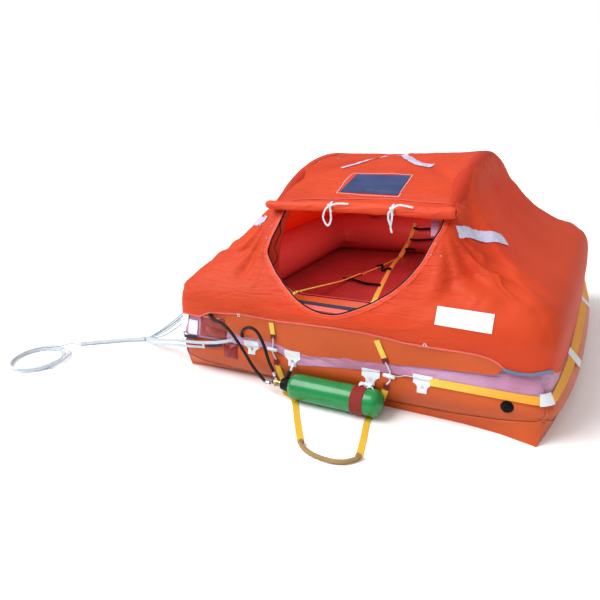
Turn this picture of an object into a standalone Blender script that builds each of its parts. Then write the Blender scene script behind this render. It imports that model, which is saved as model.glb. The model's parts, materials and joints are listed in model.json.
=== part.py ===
# Inflatable life raft with a canopy, as it stands on a floor. Metres.
# +X runs to the right along the entrance side, +Y to the rear and +Z up.
import math

import bmesh
import bpy
from mathutils import Vector

GAP = 0.0003
WEB_THICK = 0.002

# bottom sheet with pulled-out corners and a lip bonded to the lower tube
SHEET_THICK = 0.003
SHEET_HALF = 0.895
SHEET_CORNER = 0.925
SHEET_STRAIGHT = 0.620
SHEET_LIP_OUT = 0.024
SHEET_LIP_Z = 0.050

# buoyancy tubes, each a square ring; the entrance side of the upper one is pressed down in its middle
TUBE_RADIUS = 0.140
TUBE_HALF = 0.810
TUBE_SIDES = 32
LOWER_Z = SHEET_THICK + GAP + TUBE_RADIUS
UPPER_Z = LOWER_Z + 2 * TUBE_RADIUS + GAP
DIP_STEPS = 20
DIP_HALF_WIDTH = 0.40
DIP_SHARE = 0.45

# band over the seam between the tubes, as (out from the tube's centre line, z)
JOINING_BAND = [(0.1166, 0.222), (0.1196, 0.222), (0.1122, 0.335), (0.1092, 0.335)]

# inner floor at the seam between the tubes
FLOOR_HALF = 0.770
FLOOR_THICK = 0.010
FLOOR_Z = (LOWER_Z + UPPER_Z) / 2
FLOOR_TOP = FLOOR_Z + FLOOR_THICK / 2

# bows, each an arch from the entrance side to the rear
BOW_X = 0.440
BOW_RADIUS = 0.045
BOW_REACH = 0.745
BOW_FOOT_Z = UPPER_Z + TUBE_RADIUS - 0.0015
BOW_RISE = 0.4705
BOW_STEPS = 28

# canopy, a taut skin over the bows and the upper tube
CANOPY_THICK = 0.004
BOW_CLEAR = 0.0010
RING_CLEAR = 0.0006
HEM_STEPS = 2
ROOF_X = 0.475
ROOF_Y = 0.660
PLAN_REACH = 1.10
PLAN_LOW = 0.20
PLAN_HIGH = 1.30
OPENING_Z = 0.800
OPENING_HALF_WIDTH = 0.425
OPENING_DROP = 0.345
OPENING_TOP = 0.855
OPENING_STEPS = 32

# rolled-up door under the hood's edge, and its two ties
ROLL_RADIUS = 0.030
ROLL_Y = -0.6868
ROLL_Z = 0.8703
ROLL_LEFT = -0.475
ROLL_RIGHT = 0.485
ROLL_EDGE = 0.006
TIE_WIDTH = 0.018
TIES = [
    # name, middle along X
    ("door_tie_left", -0.105),
    ("door_tie_right", 0.205),
]

# gas cylinder, lying along X under the entrance
CYL_RADIUS = 0.0635
CYL_Y = -1.006
CYL_Z = 0.072
CYL_LEFT = -0.215
CYL_RIGHT = 0.268
CYL_CAP = 0.045
CYL_CAP_FROM = 24
NECK_LEFT = -0.258
VALVE_LEFT = -0.305
STRAP_LEFT = 0.129
STRAP_RIGHT = 0.190
HANGER_X = (0.140, 0.200)
HANGER = [(-0.9510, 0.1375), (-0.9510, 0.1200), (-0.9720, 0.1290), (-0.9800, 0.1370)]

# inflation hoses, from their inlets on the raft to the cylinder's valve
HOSE_RADIUS = 0.0075
HOSES = [
    # name, route
    ("inflation_hose_lower", [(-0.712, -0.9450, 0.3585), (-0.670, -0.978, 0.347), (-0.607, -0.987, 0.337),
                              (-0.555, -0.987, 0.295), (-0.486, -0.987, 0.200), (-0.440, -0.987, 0.125),
                              (-0.384, -0.990, 0.067), (-0.345, -1.002, 0.058), (-0.3083, -1.006, 0.070)]),
    ("inflation_hose_upper", [(-0.522, -0.9350, 0.256), (-0.503, -0.965, 0.285), (-0.468, -0.992, 0.325),
                              (-0.424, -1.003, 0.346), (-0.384, -1.003, 0.330), (-0.352, -1.003, 0.270),
                              (-0.328, -1.003, 0.180), (-0.305, -1.004, 0.130), (-0.288, -1.006, 0.0882)]),
]

# T-shaped patches on the lower tube that carry the lifeline
PATCH_CROSS = 0.034
PATCH_STEM = 0.016
PATCH_ROWS = (-2, 6, 14, 22, 30)
PATCH_STEM_ROWS = 2
PATCH_LIFT = 0.0009
PATCH_THICK = 0.0015
PATCHES = [
    # name, middle along X
    ("lifeline_patch_1", -0.464),
    ("lifeline_patch_2", -0.223),
    ("lifeline_patch_3", 0.186),
    ("lifeline_patch_4", 0.429),
]

# lifeline, from right of the entrance round the raft to the left corner of the entrance side
LIFELINE_LOW = 0.180
LIFELINE_HIGH = 0.218
LIFELINE_LIFT = 0.0006
LIFELINE_FRONT = (-0.790, 0.470)
WRAP_LIFT = 0.0032
WRAPS = [
    # name, middle along X and Y, half size along X and Y
    ("corner_patch_front_right", (0.960, -0.960), (0.060, 0.060)),
    ("corner_patch_rear_right", (0.960, 0.960), (0.060, 0.060)),
    ("corner_patch_rear_left", (-0.960, 0.960), (0.060, 0.060)),
    ("corner_patch_front_left", (-0.960, -0.960), (0.060, 0.060)),
    ("lifeline_sleeve_right", (0.950, -0.460), (0.100, 0.040)),
    ("lifeline_sleeve_rear", (0.000, 0.950), (0.040, 0.100)),
    ("lifeline_sleeve_left", (-0.950, 0.000), (0.100, 0.040)),
]

# topping-up valve
TOPPING_X = 0.784
TOPPING_Z = 0.146

# pocket over the inlets, as (y, z) along X, and the pouch on the lower tube
POCKET_X = (-0.790, -0.620)
POCKET = [(-0.9300, 0.2260), (-0.9500, 0.2320), (-0.9460, 0.3220), (-0.9230, 0.3345)]
POUCH_X = (-0.640, -0.560)
POUCH_ROWS = (-8, -4, 0, 4, 8, 12, 16)
POUCH_THICK = 0.012

# boarding ladder: straps over both tubes, loops out on the floor, a step with knots, and toggles
FLOOR_LIFT = 0.0006
LADDER_WIDTH = 0.030
LADDER_HEM_DEGREES = -26
LADDERS = [
    # name, x under the hem, x low on the tube, route over the floor
    ("left", -0.328, -0.290, [(-0.262, -0.928), (-0.188, -1.018), (-0.080, -1.180), (0.0173, -1.3238)]),
    ("right", 0.226, 0.246, [(0.225, -0.928), (0.210, -1.041), (0.250, -1.190), (0.2826, -1.3153)]),
]
STEP_RADIUS = 0.0090
STEP_Z = 0.0100
STEP = [(0.0351, -1.3438), (0.070, -1.370), (0.121, -1.391), (0.191, -1.396), (0.245, -1.380), (0.2797, -1.3404)]
KNOTS = [
    # name, x, y
    ("step_knot_left", 0.0240, -1.3340),
    ("step_knot_right", 0.2860, -1.3270),
]
TOGGLE_SIZE = (0.056, 0.010, 0.018)
TOGGLES = [
    # name, x, z
    ("ladder_toggle_left", -0.333, 0.222),
    ("ladder_toggle_right", 0.262, 0.192),
]

# inner ladder: straps over the entrance tube and along the floor, and rungs
INNER_WIDTH = 0.025
INNER_REACH = TUBE_RADIUS + 0.0018
INNER_FLOOR = FLOOR_TOP + 0.0010
INNER_STRAPS = [
    # name, x on the tube, route over the floor, x low and high on the rear wall
    ("inner_strap_left", -0.300, [(-0.335, -0.30), (-0.350, -0.04), (-0.300, 0.36)], None),
    ("inner_strap_right", 0.110, [(0.020, -0.35), (-0.080, -0.05), (-0.160, 0.30), (-0.225, 0.62)],
     (-0.215, -0.150)),
]
RUNG_RADIUS = 0.006
RUNG_FLOOR_Z = INNER_FLOOR + WEB_THICK + GAP + RUNG_RADIUS
RUNG_WALL_Y = TUBE_HALF - INNER_REACH - WEB_THICK - 0.0110
RUNGS = [
    # name, two ends
    ("inner_rung_1", (-0.385, 0.020, RUNG_FLOOR_Z), (-0.050, -0.040, RUNG_FLOOR_Z)),
    ("inner_rung_2", (-0.330, 0.340, RUNG_FLOOR_Z), (-0.140, 0.290, RUNG_FLOOR_Z)),
    ("inner_rung_3", (-0.190, RUNG_WALL_Y, 0.420), (0.015, RUNG_WALL_Y, 0.425)),
]

# painter: two bridle straps to the floor, the line bundled, and its coil
BRIDLE_WIDTH = 0.012
BRIDLES = [
    # name, route
    ("bridle_strap_upper", [(-0.560, -0.9294, 0.238), (-0.590, -0.9520, 0.230), (-0.660, -0.9640, 0.212),
                            (-0.780, -0.9620, 0.190), (-0.900, -0.9600, 0.178), (-0.985, -0.9450, 0.165),
                            (-1.180, -0.8550, 0.100), (-1.300, -0.8000, 0.060), (-1.4431, -0.7291, 0.0215)]),
    ("bridle_strap_lower", [(-0.800, -0.9496, 0.158), (-0.900, -0.9580, 0.150), (-0.985, -0.9480, 0.138),
                            (-1.180, -0.8650, 0.078), (-1.300, -0.8100, 0.036), (-1.4431, -0.7291, 0.0068)]),
]
BUNDLE_RADIUS = 0.0140
BUNDLE_Z = 0.0148
BUNDLE = [(-1.4450, -0.7300), (-1.540, -0.775), (-1.616, -0.825), (-1.700, -0.880), (-1.780, -0.935),
          (-1.8300, -1.0130)]
COIL_CENTRE = (-1.845, -1.2023, 0.0132)
COIL_REACH = 0.1625
COIL_HALF_WIDTH = 0.0220
COIL_HALF_HEIGHT = 0.0125
COIL_SIDES = 40

# colour, roughness, metallic
FINISHES = {
    "tube_orange": ((0.62, 0.16, 0.035), 0.45, 0.0),
    "canopy_red": ((0.78, 0.085, 0.02), 0.55, 0.0),
    "roll_red": ((0.72, 0.075, 0.02), 0.55, 0.0),
    "band_lilac": ((0.72, 0.52, 0.58), 0.5, 0.0),
    "floor_red": ((0.22, 0.02, 0.012), 0.5, 0.0),
    "sheet_brown": ((0.42, 0.11, 0.03), 0.6, 0.0),
    "bow_black": ((0.03, 0.03, 0.032), 0.6, 0.0),
    "patch_white": ((0.80, 0.80, 0.82), 0.5, 0.0),
    "web_yellow": ((0.80, 0.55, 0.03), 0.6, 0.0),
    "web_white": ((0.78, 0.79, 0.80), 0.65, 0.0),
    "cylinder_green": ((0.02, 0.26, 0.07), 0.3, 0.0),
    "strap_red": ((0.35, 0.03, 0.02), 0.6, 0.0),
    "pouch_red": ((0.30, 0.02, 0.02), 0.45, 0.0),
    "rubber_black": ((0.012, 0.012, 0.013), 0.5, 0.0),
    "brass": ((0.55, 0.42, 0.20), 0.35, 1.0),
    "step_tan": ((0.45, 0.30, 0.12), 0.6, 0.0),
    "cord_white": ((0.76, 0.80, 0.84), 0.7, 0.0),
}


def clear_scene():
    for item in list(bpy.data.objects):
        bpy.data.objects.remove(item, do_unlink=True)


def make_collection(name):
    group = bpy.data.collections.new(name)
    bpy.context.scene.collection.children.link(group)
    return group


def finish_material(name):
    found = bpy.data.materials.get(name)
    if found:
        return found
    colour, roughness, metallic = FINISHES[name]
    made = bpy.data.materials.new(name)
    made.use_nodes = True
    shader = made.node_tree.nodes["Principled BSDF"]
    shader.inputs["Base Color"].default_value = (*colour, 1.0)
    shader.inputs["Roughness"].default_value = roughness
    shader.inputs["Metallic"].default_value = metallic
    return made


def add_part(name, bm, finish, smooth=False):
    mesh = bpy.data.meshes.new(name)
    bm.to_mesh(mesh)
    bm.free()
    mesh.materials.append(finish_material(finish))
    if smooth:
        mesh.shade_smooth()
    obj = bpy.data.objects.new(name, mesh)
    PARTS.objects.link(obj)
    return obj


# closed shapes leave this with their faces pointing out
def outward(bm):
    bmesh.ops.recalc_face_normals(bm, faces=bm.faces[:])
    return bm


def box_shape(low, high):
    bm = bmesh.new()
    bmesh.ops.create_cube(bm, size=1.0)
    for vert in bm.verts:
        vert.co = [low[k] + (vert.co[k] + 0.5) * (high[k] - low[k]) for k in range(3)]
    return bm


# flat outline pushed along one axis, whose points are given in the other two axes' order
def pushed_shape(outline, along, low, high):
    place = {
        "X": lambda u, v, w: (w, u, v),
        "Y": lambda u, v, w: (u, w, v),
        "Z": lambda u, v, w: (u, v, w),
    }[along]
    bm = bmesh.new()
    face = bm.faces.new([bm.verts.new(place(u, v, low)) for u, v in outline])
    far = bmesh.ops.extrude_face_region(bm, geom=[face])["geom"]
    moved = [item for item in far if isinstance(item, bmesh.types.BMVert)]
    bmesh.ops.translate(bm, verts=moved, vec=place(0, 0, high - low))
    return outward(bm)


# (out, z) section carried round the square plan of the tubes, its corners mitred
def square_ring(section):
    bm = bmesh.new()
    loop = [bm.verts.new((TUBE_HALF + out, -TUBE_HALF - out, z)) for out, z in section]
    edges = [bm.edges.new((a, b)) for a, b in zip(loop, loop[1:] + loop[:1])]
    bmesh.ops.spin(bm, geom=loop + edges, cent=(0, 0, 0), axis=(0, 0, 1), angle=2 * math.pi, steps=4,
                   use_merge=True)
    return outward(bm)


# (radius, height) rows, top first, turned about local Z
def turned_part(name, rows, sides, finish, place, rotation=(0, 0, 0), closed=False):
    bm = bmesh.new()
    line = [bm.verts.new((radius, 0, height)) for radius, height in rows]
    ends = line[1:] + line[:1] if closed else line[1:]
    for near, far in zip(line, ends):
        bm.edges.new((near, far))
    obj = add_part(name, bm, finish)
    turn = obj.modifiers.new("turn", "SCREW")
    turn.steps = sides
    turn.render_steps = sides
    turn.use_merge_vertices = True
    turn.merge_threshold = 0.0001
    obj.location = place
    obj.rotation_euler = rotation
    return obj


def thicken(obj, thick, offset):
    shell = obj.modifiers.new("thickness", "SOLIDIFY")
    shell.thickness = thick
    shell.offset = offset
    shell.use_even_offset = True


def cut(obj, cutter_shape, operation):
    mesh = bpy.data.meshes.new("cut_" + obj.name)
    cutter_shape.to_mesh(mesh)
    cutter_shape.free()
    cutter = bpy.data.objects.new("cut_" + obj.name, mesh)
    CUTTERS.objects.link(cutter)
    cutter.hide_render = True
    cutter.display_type = "WIRE"
    edit = obj.modifiers.new(operation.lower(), "BOOLEAN")
    edit.operation = operation
    edit.solver = "EXACT"
    edit.object = cutter


# smooth curve through a few points
def smooth_route(points, per_span):
    route = [Vector(point) for point in points]
    ends = [route[0] * 2 - route[1]] + route + [route[-1] * 2 - route[-2]]
    out = []
    for i in range(1, len(ends) - 2):
        a, b, c, d = ends[i - 1:i + 3]
        for k in range(per_span):
            t = k / per_span
            out.append(0.5 * ((2 * b) + (c - a) * t + (2 * a - 5 * b + 4 * c - d) * t * t
                              + (3 * b - a - 3 * c + d) * t * t * t))
    out.append(route[-1])
    return out


def round_part(name, points, radius, finish, resolution=3):
    data = bpy.data.curves.new(name, "CURVE")
    data.dimensions = "3D"
    data.bevel_depth = radius
    data.bevel_resolution = resolution
    data.use_fill_caps = True
    spline = data.splines.new("POLY")
    spline.points.add(len(points) - 1)
    for slot, point in zip(spline.points, points):
        slot.co = (*point, 1.0)
    data.materials.append(finish_material(finish))
    obj = bpy.data.objects.new(name, data)
    PARTS.objects.link(obj)
    return obj


# flat webbing through points, its broad side square to the normals
def ribbon_shape(points, normals, width):
    bm = bmesh.new()
    rings = []
    last = len(points) - 1
    for i, (point, normal) in enumerate(zip(points, normals)):
        here = Vector(point)
        ahead = Vector(points[min(i + 1, last)]) - Vector(points[max(i - 1, 0)])
        side = ahead.normalized().cross(Vector(normal)).normalized() * (width / 2)
        lift = Vector(normal).normalized() * WEB_THICK
        ring = (here - side, here + side, here + side + lift, here - side + lift)
        rings.append([bm.verts.new(corner) for corner in ring])
    for near, far in zip(rings, rings[1:]):
        for i in range(4):
            j = (i + 1) % 4
            bm.faces.new((near[i], near[j], far[j], far[i]))
    bm.faces.new(rings[0][::-1])
    bm.faces.new(rings[-1])
    return outward(bm)


# cloth bonded to the entrance side of a tube: columns along X, rows in degrees, gaps left out
def tube_patch(name, columns, rows, centre_z, lift, thick, finish, gaps=()):
    across = len(columns) - 1
    up = len(rows) - 1
    bm = bmesh.new()
    bmesh.ops.create_grid(bm, x_segments=across, y_segments=up, size=1.0)
    spare = []
    for face in bm.faces:
        middle = face.calc_center_median()
        cell = (int((middle.x + 1) / 2 * across), int((middle.y + 1) / 2 * up))
        if cell in gaps:
            spare.append(face)
    reach = TUBE_RADIUS + lift
    for vert in bm.verts:
        turn = math.radians(rows[round((vert.co.y + 1) / 2 * up)])
        x = columns[round((vert.co.x + 1) / 2 * across)]
        vert.co = (x, -TUBE_HALF - reach * math.cos(turn), centre_z + reach * math.sin(turn))
    bmesh.ops.delete(bm, geom=spare, context="FACES")
    thicken(add_part(name, bm, finish), thick, 1.0)


def dip_height(x, y, z):
    if y > 0 or z <= UPPER_Z or abs(x) >= DIP_HALF_WIDTH:
        return z
    share = DIP_SHARE * math.cos(math.pi * x / (2 * DIP_HALF_WIDTH)) ** 2
    return UPPER_Z + (z - UPPER_Z) * (1 - share)


def press_doorway(bm):
    for vert in bm.verts:
        vert.co.z = dip_height(*vert.co)
    return bm


def build_tubes():
    circle = []
    for i in range(TUBE_SIDES):
        turn = 2 * math.pi * i / TUBE_SIDES
        circle.append((TUBE_RADIUS * math.cos(turn), TUBE_RADIUS * math.sin(turn)))
    add_part("lower_tube", square_ring([(out, LOWER_Z + up) for out, up in circle]), "tube_orange", True)

    upper = square_ring([(out, UPPER_Z + up) for out, up in circle])
    for i in range(DIP_STEPS + 1):
        x = DIP_HALF_WIDTH * (2 * i / DIP_STEPS - 1)
        side = [face for face in upper.faces if face.calc_center_median().y < -TUBE_HALF + TUBE_RADIUS]
        touched = {item for face in side for item in (face, *face.edges, *face.verts)}
        bmesh.ops.bisect_plane(upper, geom=list(touched), plane_co=(x, 0, 0), plane_no=(1, 0, 0))
    add_part("upper_tube", press_doorway(upper), "tube_orange", True)
    add_part("tube_joining_band", square_ring(JOINING_BAND), "band_lilac")


def build_floors():
    plan = []
    for turn in range(4):
        for x, y in ((SHEET_CORNER, -SHEET_CORNER), (SHEET_HALF, -SHEET_STRAIGHT), (SHEET_HALF, SHEET_STRAIGHT)):
            for _ in range(turn):
                x, y = -y, x
            plan.append((x, y))
    bm = bmesh.new()
    base = [bm.verts.new((x, y, 0)) for x, y in plan]
    grow = 1 + SHEET_LIP_OUT / SHEET_HALF
    lip = [bm.verts.new((x * grow, y * grow, SHEET_LIP_Z)) for x, y in plan]
    bm.faces.new(base[::-1])
    for i in range(len(plan)):
        j = (i + 1) % len(plan)
        bm.faces.new((base[i], base[j], lip[j], lip[i]))
    thicken(add_part("bottom_sheet", bm, "sheet_brown"), SHEET_THICK, -1.0)

    low = FLOOR_Z - FLOOR_THICK / 2
    floor = box_shape((-FLOOR_HALF, -FLOOR_HALF, low), (FLOOR_HALF, FLOOR_HALF, FLOOR_TOP))
    add_part("inner_floor", floor, "floor_red")


# centre line of a bow in (y, z), each point with the offset that lies extra metres outside it
def bow_line(extra):
    rows = []
    for i in range(BOW_STEPS + 1):
        turn = math.pi * i / BOW_STEPS
        y = -BOW_REACH * math.cos(turn)
        z = BOW_FOOT_Z + BOW_RISE * math.sin(turn)
        out = Vector((0, -math.cos(turn) / BOW_REACH, math.sin(turn) / BOW_RISE)).normalized()
        rows.append((y, z, out * extra))
    return rows


def build_bows():
    for name, x in (("bow_left", -BOW_X), ("bow_right", BOW_X)):
        round_part(name, [(x, y, z) for y, z, out in bow_line(0)], BOW_RADIUS, "bow_black", 4)


# convex skin over both bows and the upper tube, open below
def canopy_skin(thick):
    bm = bmesh.new()
    over_bow = BOW_RADIUS + BOW_CLEAR + thick
    for side in (-1, 1):
        for y, z, out in bow_line(over_bow):
            for lean in (0, 30, 60, 90):
                turn = math.radians(lean)
                x = side * (BOW_X + over_bow * math.cos(turn))
                lift = out * math.sin(turn)
                bm.verts.new((x, y + lift.y, z + lift.z))
    over_tube = TUBE_RADIUS + RING_CLEAR + thick
    for side_x in (-1, 1):
        for side_y in (-1, 1):
            for i in range(-HEM_STEPS, TUBE_SIDES // 4 + 1):
                turn = 2 * math.pi * i / TUBE_SIDES
                half = TUBE_HALF + over_tube * math.cos(turn)
                bm.verts.new((side_x * half, side_y * half, UPPER_Z + over_tube * math.sin(turn)))
    result = bmesh.ops.convex_hull(bm, input=bm.verts[:])
    inside = [item for item in result["geom_interior"] if isinstance(item, bmesh.types.BMVert)]
    bmesh.ops.delete(bm, geom=inside, context="VERTS")
    bmesh.ops.dissolve_limit(bm, angle_limit=0.002, verts=bm.verts[:], edges=bm.edges[:])
    outward(bm)
    under = [face for face in bm.faces if face.normal.z < -0.9]
    bmesh.ops.delete(bm, geom=under, context="FACES_ONLY")
    bmesh.ops.triangulate(bm, faces=bm.faces[:])
    return bm


def canopy_shell():
    outer = canopy_skin(CANOPY_THICK)
    inner = canopy_skin(0.0)
    bmesh.ops.reverse_faces(inner, faces=inner.faces[:])
    carried = bpy.data.meshes.new("inner_skin")
    inner.to_mesh(carried)
    inner.free()
    outer.from_mesh(carried)
    bpy.data.meshes.remove(carried)
    bmesh.ops.bridge_loops(outer, edges=[edge for edge in outer.edges if edge.is_boundary])
    return outward(outer)


# plan outline of each panel, between the seams
def canopy_plans():
    g = GAP / 2
    x = ROOF_X
    y = ROOF_Y
    far = PLAN_REACH
    return {
        "canopy_roof": [(-x + g, -y + g), (x - g, -y + g), (x - g, y - g), (-x + g, y - g)],
        "canopy_front": [(-x + g, -y - g), (-far + g, -far - g), (far - g, -far - g), (x - g, -y - g)],
        "canopy_rear": [(x - g, y + g), (far - g, far + g), (-far + g, far + g), (-x + g, y + g)],
        "canopy_left": [(-x - g, y), (-far - g, far), (-far - g, -far), (-x - g, -y)],
        "canopy_right": [(x + g, -y), (far + g, -far), (far + g, far), (x + g, y)],
    }


# the entrance: half an ellipse below, straight up to the roll
def opening_outline():
    points = [(OPENING_HALF_WIDTH, OPENING_TOP), (-OPENING_HALF_WIDTH, OPENING_TOP)]
    for i in range(OPENING_STEPS + 1):
        turn = math.pi * i / OPENING_STEPS
        points.append((-OPENING_HALF_WIDTH * math.cos(turn), OPENING_Z - OPENING_DROP * math.sin(turn)))
    return points


def build_canopy():
    for name, plan in canopy_plans().items():
        panel = add_part(name, canopy_shell(), "canopy_red")
        cut(panel, pushed_shape(plan, "Z", PLAN_LOW, PLAN_HIGH), "INTERSECT")
        if name == "canopy_front":
            cut(panel, pushed_shape(opening_outline(), "Y", -1.20, -0.60), "DIFFERENCE")


def build_door_roll():
    length = ROLL_RIGHT - ROLL_LEFT
    edge = ROLL_RADIUS * 0.8
    rows = [(0, length), (edge, length), (ROLL_RADIUS, length - ROLL_EDGE), (ROLL_RADIUS, ROLL_EDGE),
            (edge, 0), (0, 0)]
    turned_part("door_roll", rows, 24, "roll_red", (ROLL_LEFT, ROLL_Y, ROLL_Z), (0, math.pi / 2, 0))
    for name, x in TIES:
        points = []
        normals = []
        for degrees in range(60, 271, 15):
            turn = math.radians(degrees)
            out = (0, math.cos(turn), math.sin(turn))
            radius = ROLL_RADIUS + GAP
            points.append((x, ROLL_Y + radius * out[1], ROLL_Z + radius * out[2]))
            normals.append(out)
        add_part(name, ribbon_shape(points, normals, TIE_WIDTH), "web_white")


def build_gas_gear():
    along = (0, math.pi / 2, 0)
    length = CYL_RIGHT - CYL_LEFT
    start = math.radians(CYL_CAP_FROM)
    cap = []
    for i in range(6):
        turn = start + (math.pi / 2 - start) * i / 5
        cap.append((CYL_RADIUS * math.sin(turn), CYL_CAP * (1 - math.cos(turn) / math.cos(start))))
    rows = [(0, length)] + [(r, length - x) for r, x in cap] + cap[::-1] + [(0, 0)]
    turned_part("gas_cylinder", rows, 36, "cylinder_green", (CYL_LEFT, CYL_Y, CYL_Z), along)

    wide = STRAP_RIGHT - STRAP_LEFT
    low = CYL_RADIUS + GAP
    high = CYL_RADIUS + 0.0025
    turned_part("cylinder_strap", [(low, wide), (high, wide), (high, 0), (low, 0)], 36, "strap_red",
                (STRAP_LEFT, CYL_Y, CYL_Z), along, closed=True)

    neck = CYL_LEFT - GAP - NECK_LEFT
    rows = [(0, neck), (0.036, neck), (0.032, 0.006), (0.020, 0), (0, 0)]
    turned_part("cylinder_neck_cover", rows, 24, "rubber_black", (NECK_LEFT, CYL_Y, CYL_Z), along)
    stem = NECK_LEFT - GAP - VALVE_LEFT
    rows = [(0, stem), (0.016, stem), (0.016, 0.034), (0.013, 0.030), (0.013, 0.004), (0.009, 0), (0, 0)]
    turned_part("cylinder_valve", rows, 16, "brass", (VALVE_LEFT, CYL_Y, CYL_Z), along)
    add_part("cylinder_hanger", pushed_shape(HANGER, "X", *HANGER_X), "patch_white")
    for name, route in HOSES:
        round_part(name, smooth_route(route, 5), HOSE_RADIUS, "rubber_black")


# section of a strip that lies on the outside of the lower tube, LIFELINE_LOW to LIFELINE_HIGH and beyond
def strip_section(below, above, lift):
    low = LIFELINE_LOW - below
    high = LIFELINE_HIGH + above
    rows = []
    for z in (low, (low + high) / 2, high):
        rows.append((math.sqrt(TUBE_RADIUS ** 2 - (z - LOWER_Z) ** 2) + lift, z))
    return rows + [(out + WEB_THICK, z) for out, z in reversed(rows)]


def build_lifeline():
    columns = (-PATCH_CROSS, -PATCH_STEM, PATCH_STEM, PATCH_CROSS)
    sides = {(column, row) for column in (0, 2) for row in range(PATCH_STEM_ROWS)}
    for name, x in PATCHES:
        tube_patch(name, [x + dx for dx in columns], PATCH_ROWS, LOWER_Z, PATCH_LIFT, PATCH_THICK,
                   "patch_white", sides)

    line = add_part("lifeline", square_ring(strip_section(0, 0, LIFELINE_LIFT)), "web_yellow")
    left, right = LIFELINE_FRONT
    cut(line, box_shape((left, -1.10, 0.10), (right, -0.70, 0.30)), "DIFFERENCE")

    for name, middle, half in WRAPS:
        wrap = add_part(name, square_ring(strip_section(0.006, 0.002, WRAP_LIFT)), "patch_white")
        low = (middle[0] - half[0], middle[1] - half[1], 0.10)
        high = (middle[0] + half[0], middle[1] + half[1], 0.30)
        cut(wrap, box_shape(low, high), "INTERSECT")


def build_front_fittings():
    rows = [(0, 0.020), (0.011, 0.020), (0.016, 0.018), (0.018, 0.006), (0.024, 0.004), (0.024, 0), (0, 0)]
    face = -TUBE_HALF - TUBE_RADIUS - GAP
    turned_part("topping_up_valve", rows, 24, "rubber_black", (TOPPING_X, face, TOPPING_Z), (math.pi / 2, 0, 0))
    add_part("inlet_pocket", pushed_shape(POCKET, "X", *POCKET_X), "pouch_red")
    tube_patch("tool_pouch", POUCH_X, POUCH_ROWS, LOWER_Z, GAP, POUCH_THICK, "pouch_red")


# webbing from under the canopy's hem down over both tubes
def build_ladder_strap(name, x_top, x_low):
    reach = TUBE_RADIUS + 2 * GAP
    start = math.radians(LADDER_HEM_DEGREES)
    points = [(x_top, -TUBE_HALF - reach * math.cos(start), UPPER_Z + reach * math.sin(start)),
              (x_top, -TUBE_HALF - reach, LOWER_Z + 0.09)]
    normals = [(0, -1, 0), (0, -1, 0)]
    for i in range(4):
        turn = -2 * math.pi * i / TUBE_SIDES
        x = (x_top + x_low) / 2 if i == 0 else x_low
        points.append((x, -TUBE_HALF - reach * math.cos(turn), LOWER_Z + reach * math.sin(turn)))
        normals.append((0, -math.cos(turn), math.sin(turn)))
    add_part("ladder_strap_" + name, ribbon_shape(points, normals, LADDER_WIDTH), "web_yellow")
    return points[-1]


# the same webbing, loose from the tube down and out over the floor
def build_ladder_loop(name, start, route):
    x, y = route[0]
    loose = [(start[0], start[1] + 0.0005, start[2] - 0.0015), (start[0], y, 0.020),
             (start[0], y - 0.022, FLOOR_LIFT)]
    loose += [(x, y, FLOOR_LIFT) for x, y in route[1:]]
    line = [(p.x, p.y, max(p.z, FLOOR_LIFT)) for p in smooth_route(loose, 4)]
    normals = [(0, -1, 0)] * 3 + [(0, -0.9, 0.3), (0, -0.7, 0.7), (0, -0.5, 0.9)]
    normals += [(0, 0, 1)] * (len(line) - len(normals))
    add_part("ladder_loop_" + name, ribbon_shape(line, normals, LADDER_WIDTH), "web_yellow")


def build_ladder():
    for name, x_top, x_low, route in LADDERS:
        start = build_ladder_strap(name, x_top, x_low)
        build_ladder_loop(name, start, route)
    round_part("boarding_step", smooth_route([(x, y, STEP_Z) for x, y in STEP], 5), STEP_RADIUS, "step_tan")
    for name, x, y in KNOTS:
        rows = [(0, 0.0190), (0.0100, 0.0190), (0.0142, 0.0140), (0.0142, 0.0040), (0.0100, 0), (0, 0)]
        turned_part(name, rows, 16, "web_yellow", (x, y, 0.0010))
    face = -TUBE_HALF - TUBE_RADIUS - WEB_THICK - 4 * GAP
    wide, deep, tall = TOGGLE_SIZE
    for name, x, z in TOGGLES:
        low = (x - wide / 2, face - deep, z - tall / 2)
        high = (x + wide / 2, face, z + tall / 2)
        add_part(name, box_shape(low, high), "patch_white")


# webbing over the entrance tube's top, down inside, along the floor and perhaps up the rear wall
def inner_strap_line(x_tube, route, wall):
    points = []
    normals = []
    for degrees in range(110, 0, -10):
        turn = math.radians(degrees)
        out = (0, math.cos(turn), math.sin(turn))
        points.append((x_tube, -TUBE_HALF + INNER_REACH * out[1], UPPER_Z + INNER_REACH * out[2]))
        normals.append(out)
    inside = -TUBE_HALF + INNER_REACH + WEB_THICK
    points += [(x_tube, inside, UPPER_Z - 0.020), (x_tube, inside, INNER_FLOOR + 0.018),
               (x_tube, inside + 0.016, INNER_FLOOR + 0.001)]
    normals += [(0, 1, 0), (0, 1, 0), (0, 0.4, 0.9)]
    points += [(x, y, INNER_FLOOR) for x, y in route]
    normals += [(0, 0, 1)] * len(route)
    if wall:
        low_x, high_x = wall
        face = TUBE_HALF - INNER_REACH - 0.003
        points += [(low_x, face - 0.002, INNER_FLOOR + 0.016), (high_x, face - 0.001, UPPER_Z)]
        normals += [(0, -1, 0), (0, -1, 0)]
        for degrees in (165, 150, 140, 130, 120, 112):
            turn = math.radians(degrees)
            out = (0, math.cos(turn), math.sin(turn))
            reach = INNER_REACH + 0.001
            points.append((high_x, TUBE_HALF + reach * out[1], UPPER_Z + reach * out[2]))
            normals.append(out)
    return points, normals


def build_inner_ladder():
    for name, x_tube, route, wall in INNER_STRAPS:
        points, normals = inner_strap_line(x_tube, route, wall)
        add_part(name, press_doorway(ribbon_shape(points, normals, INNER_WIDTH)), "web_yellow")
    for name, start, end in RUNGS:
        round_part(name, [start, end], RUNG_RADIUS, "rubber_black", 2)


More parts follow.
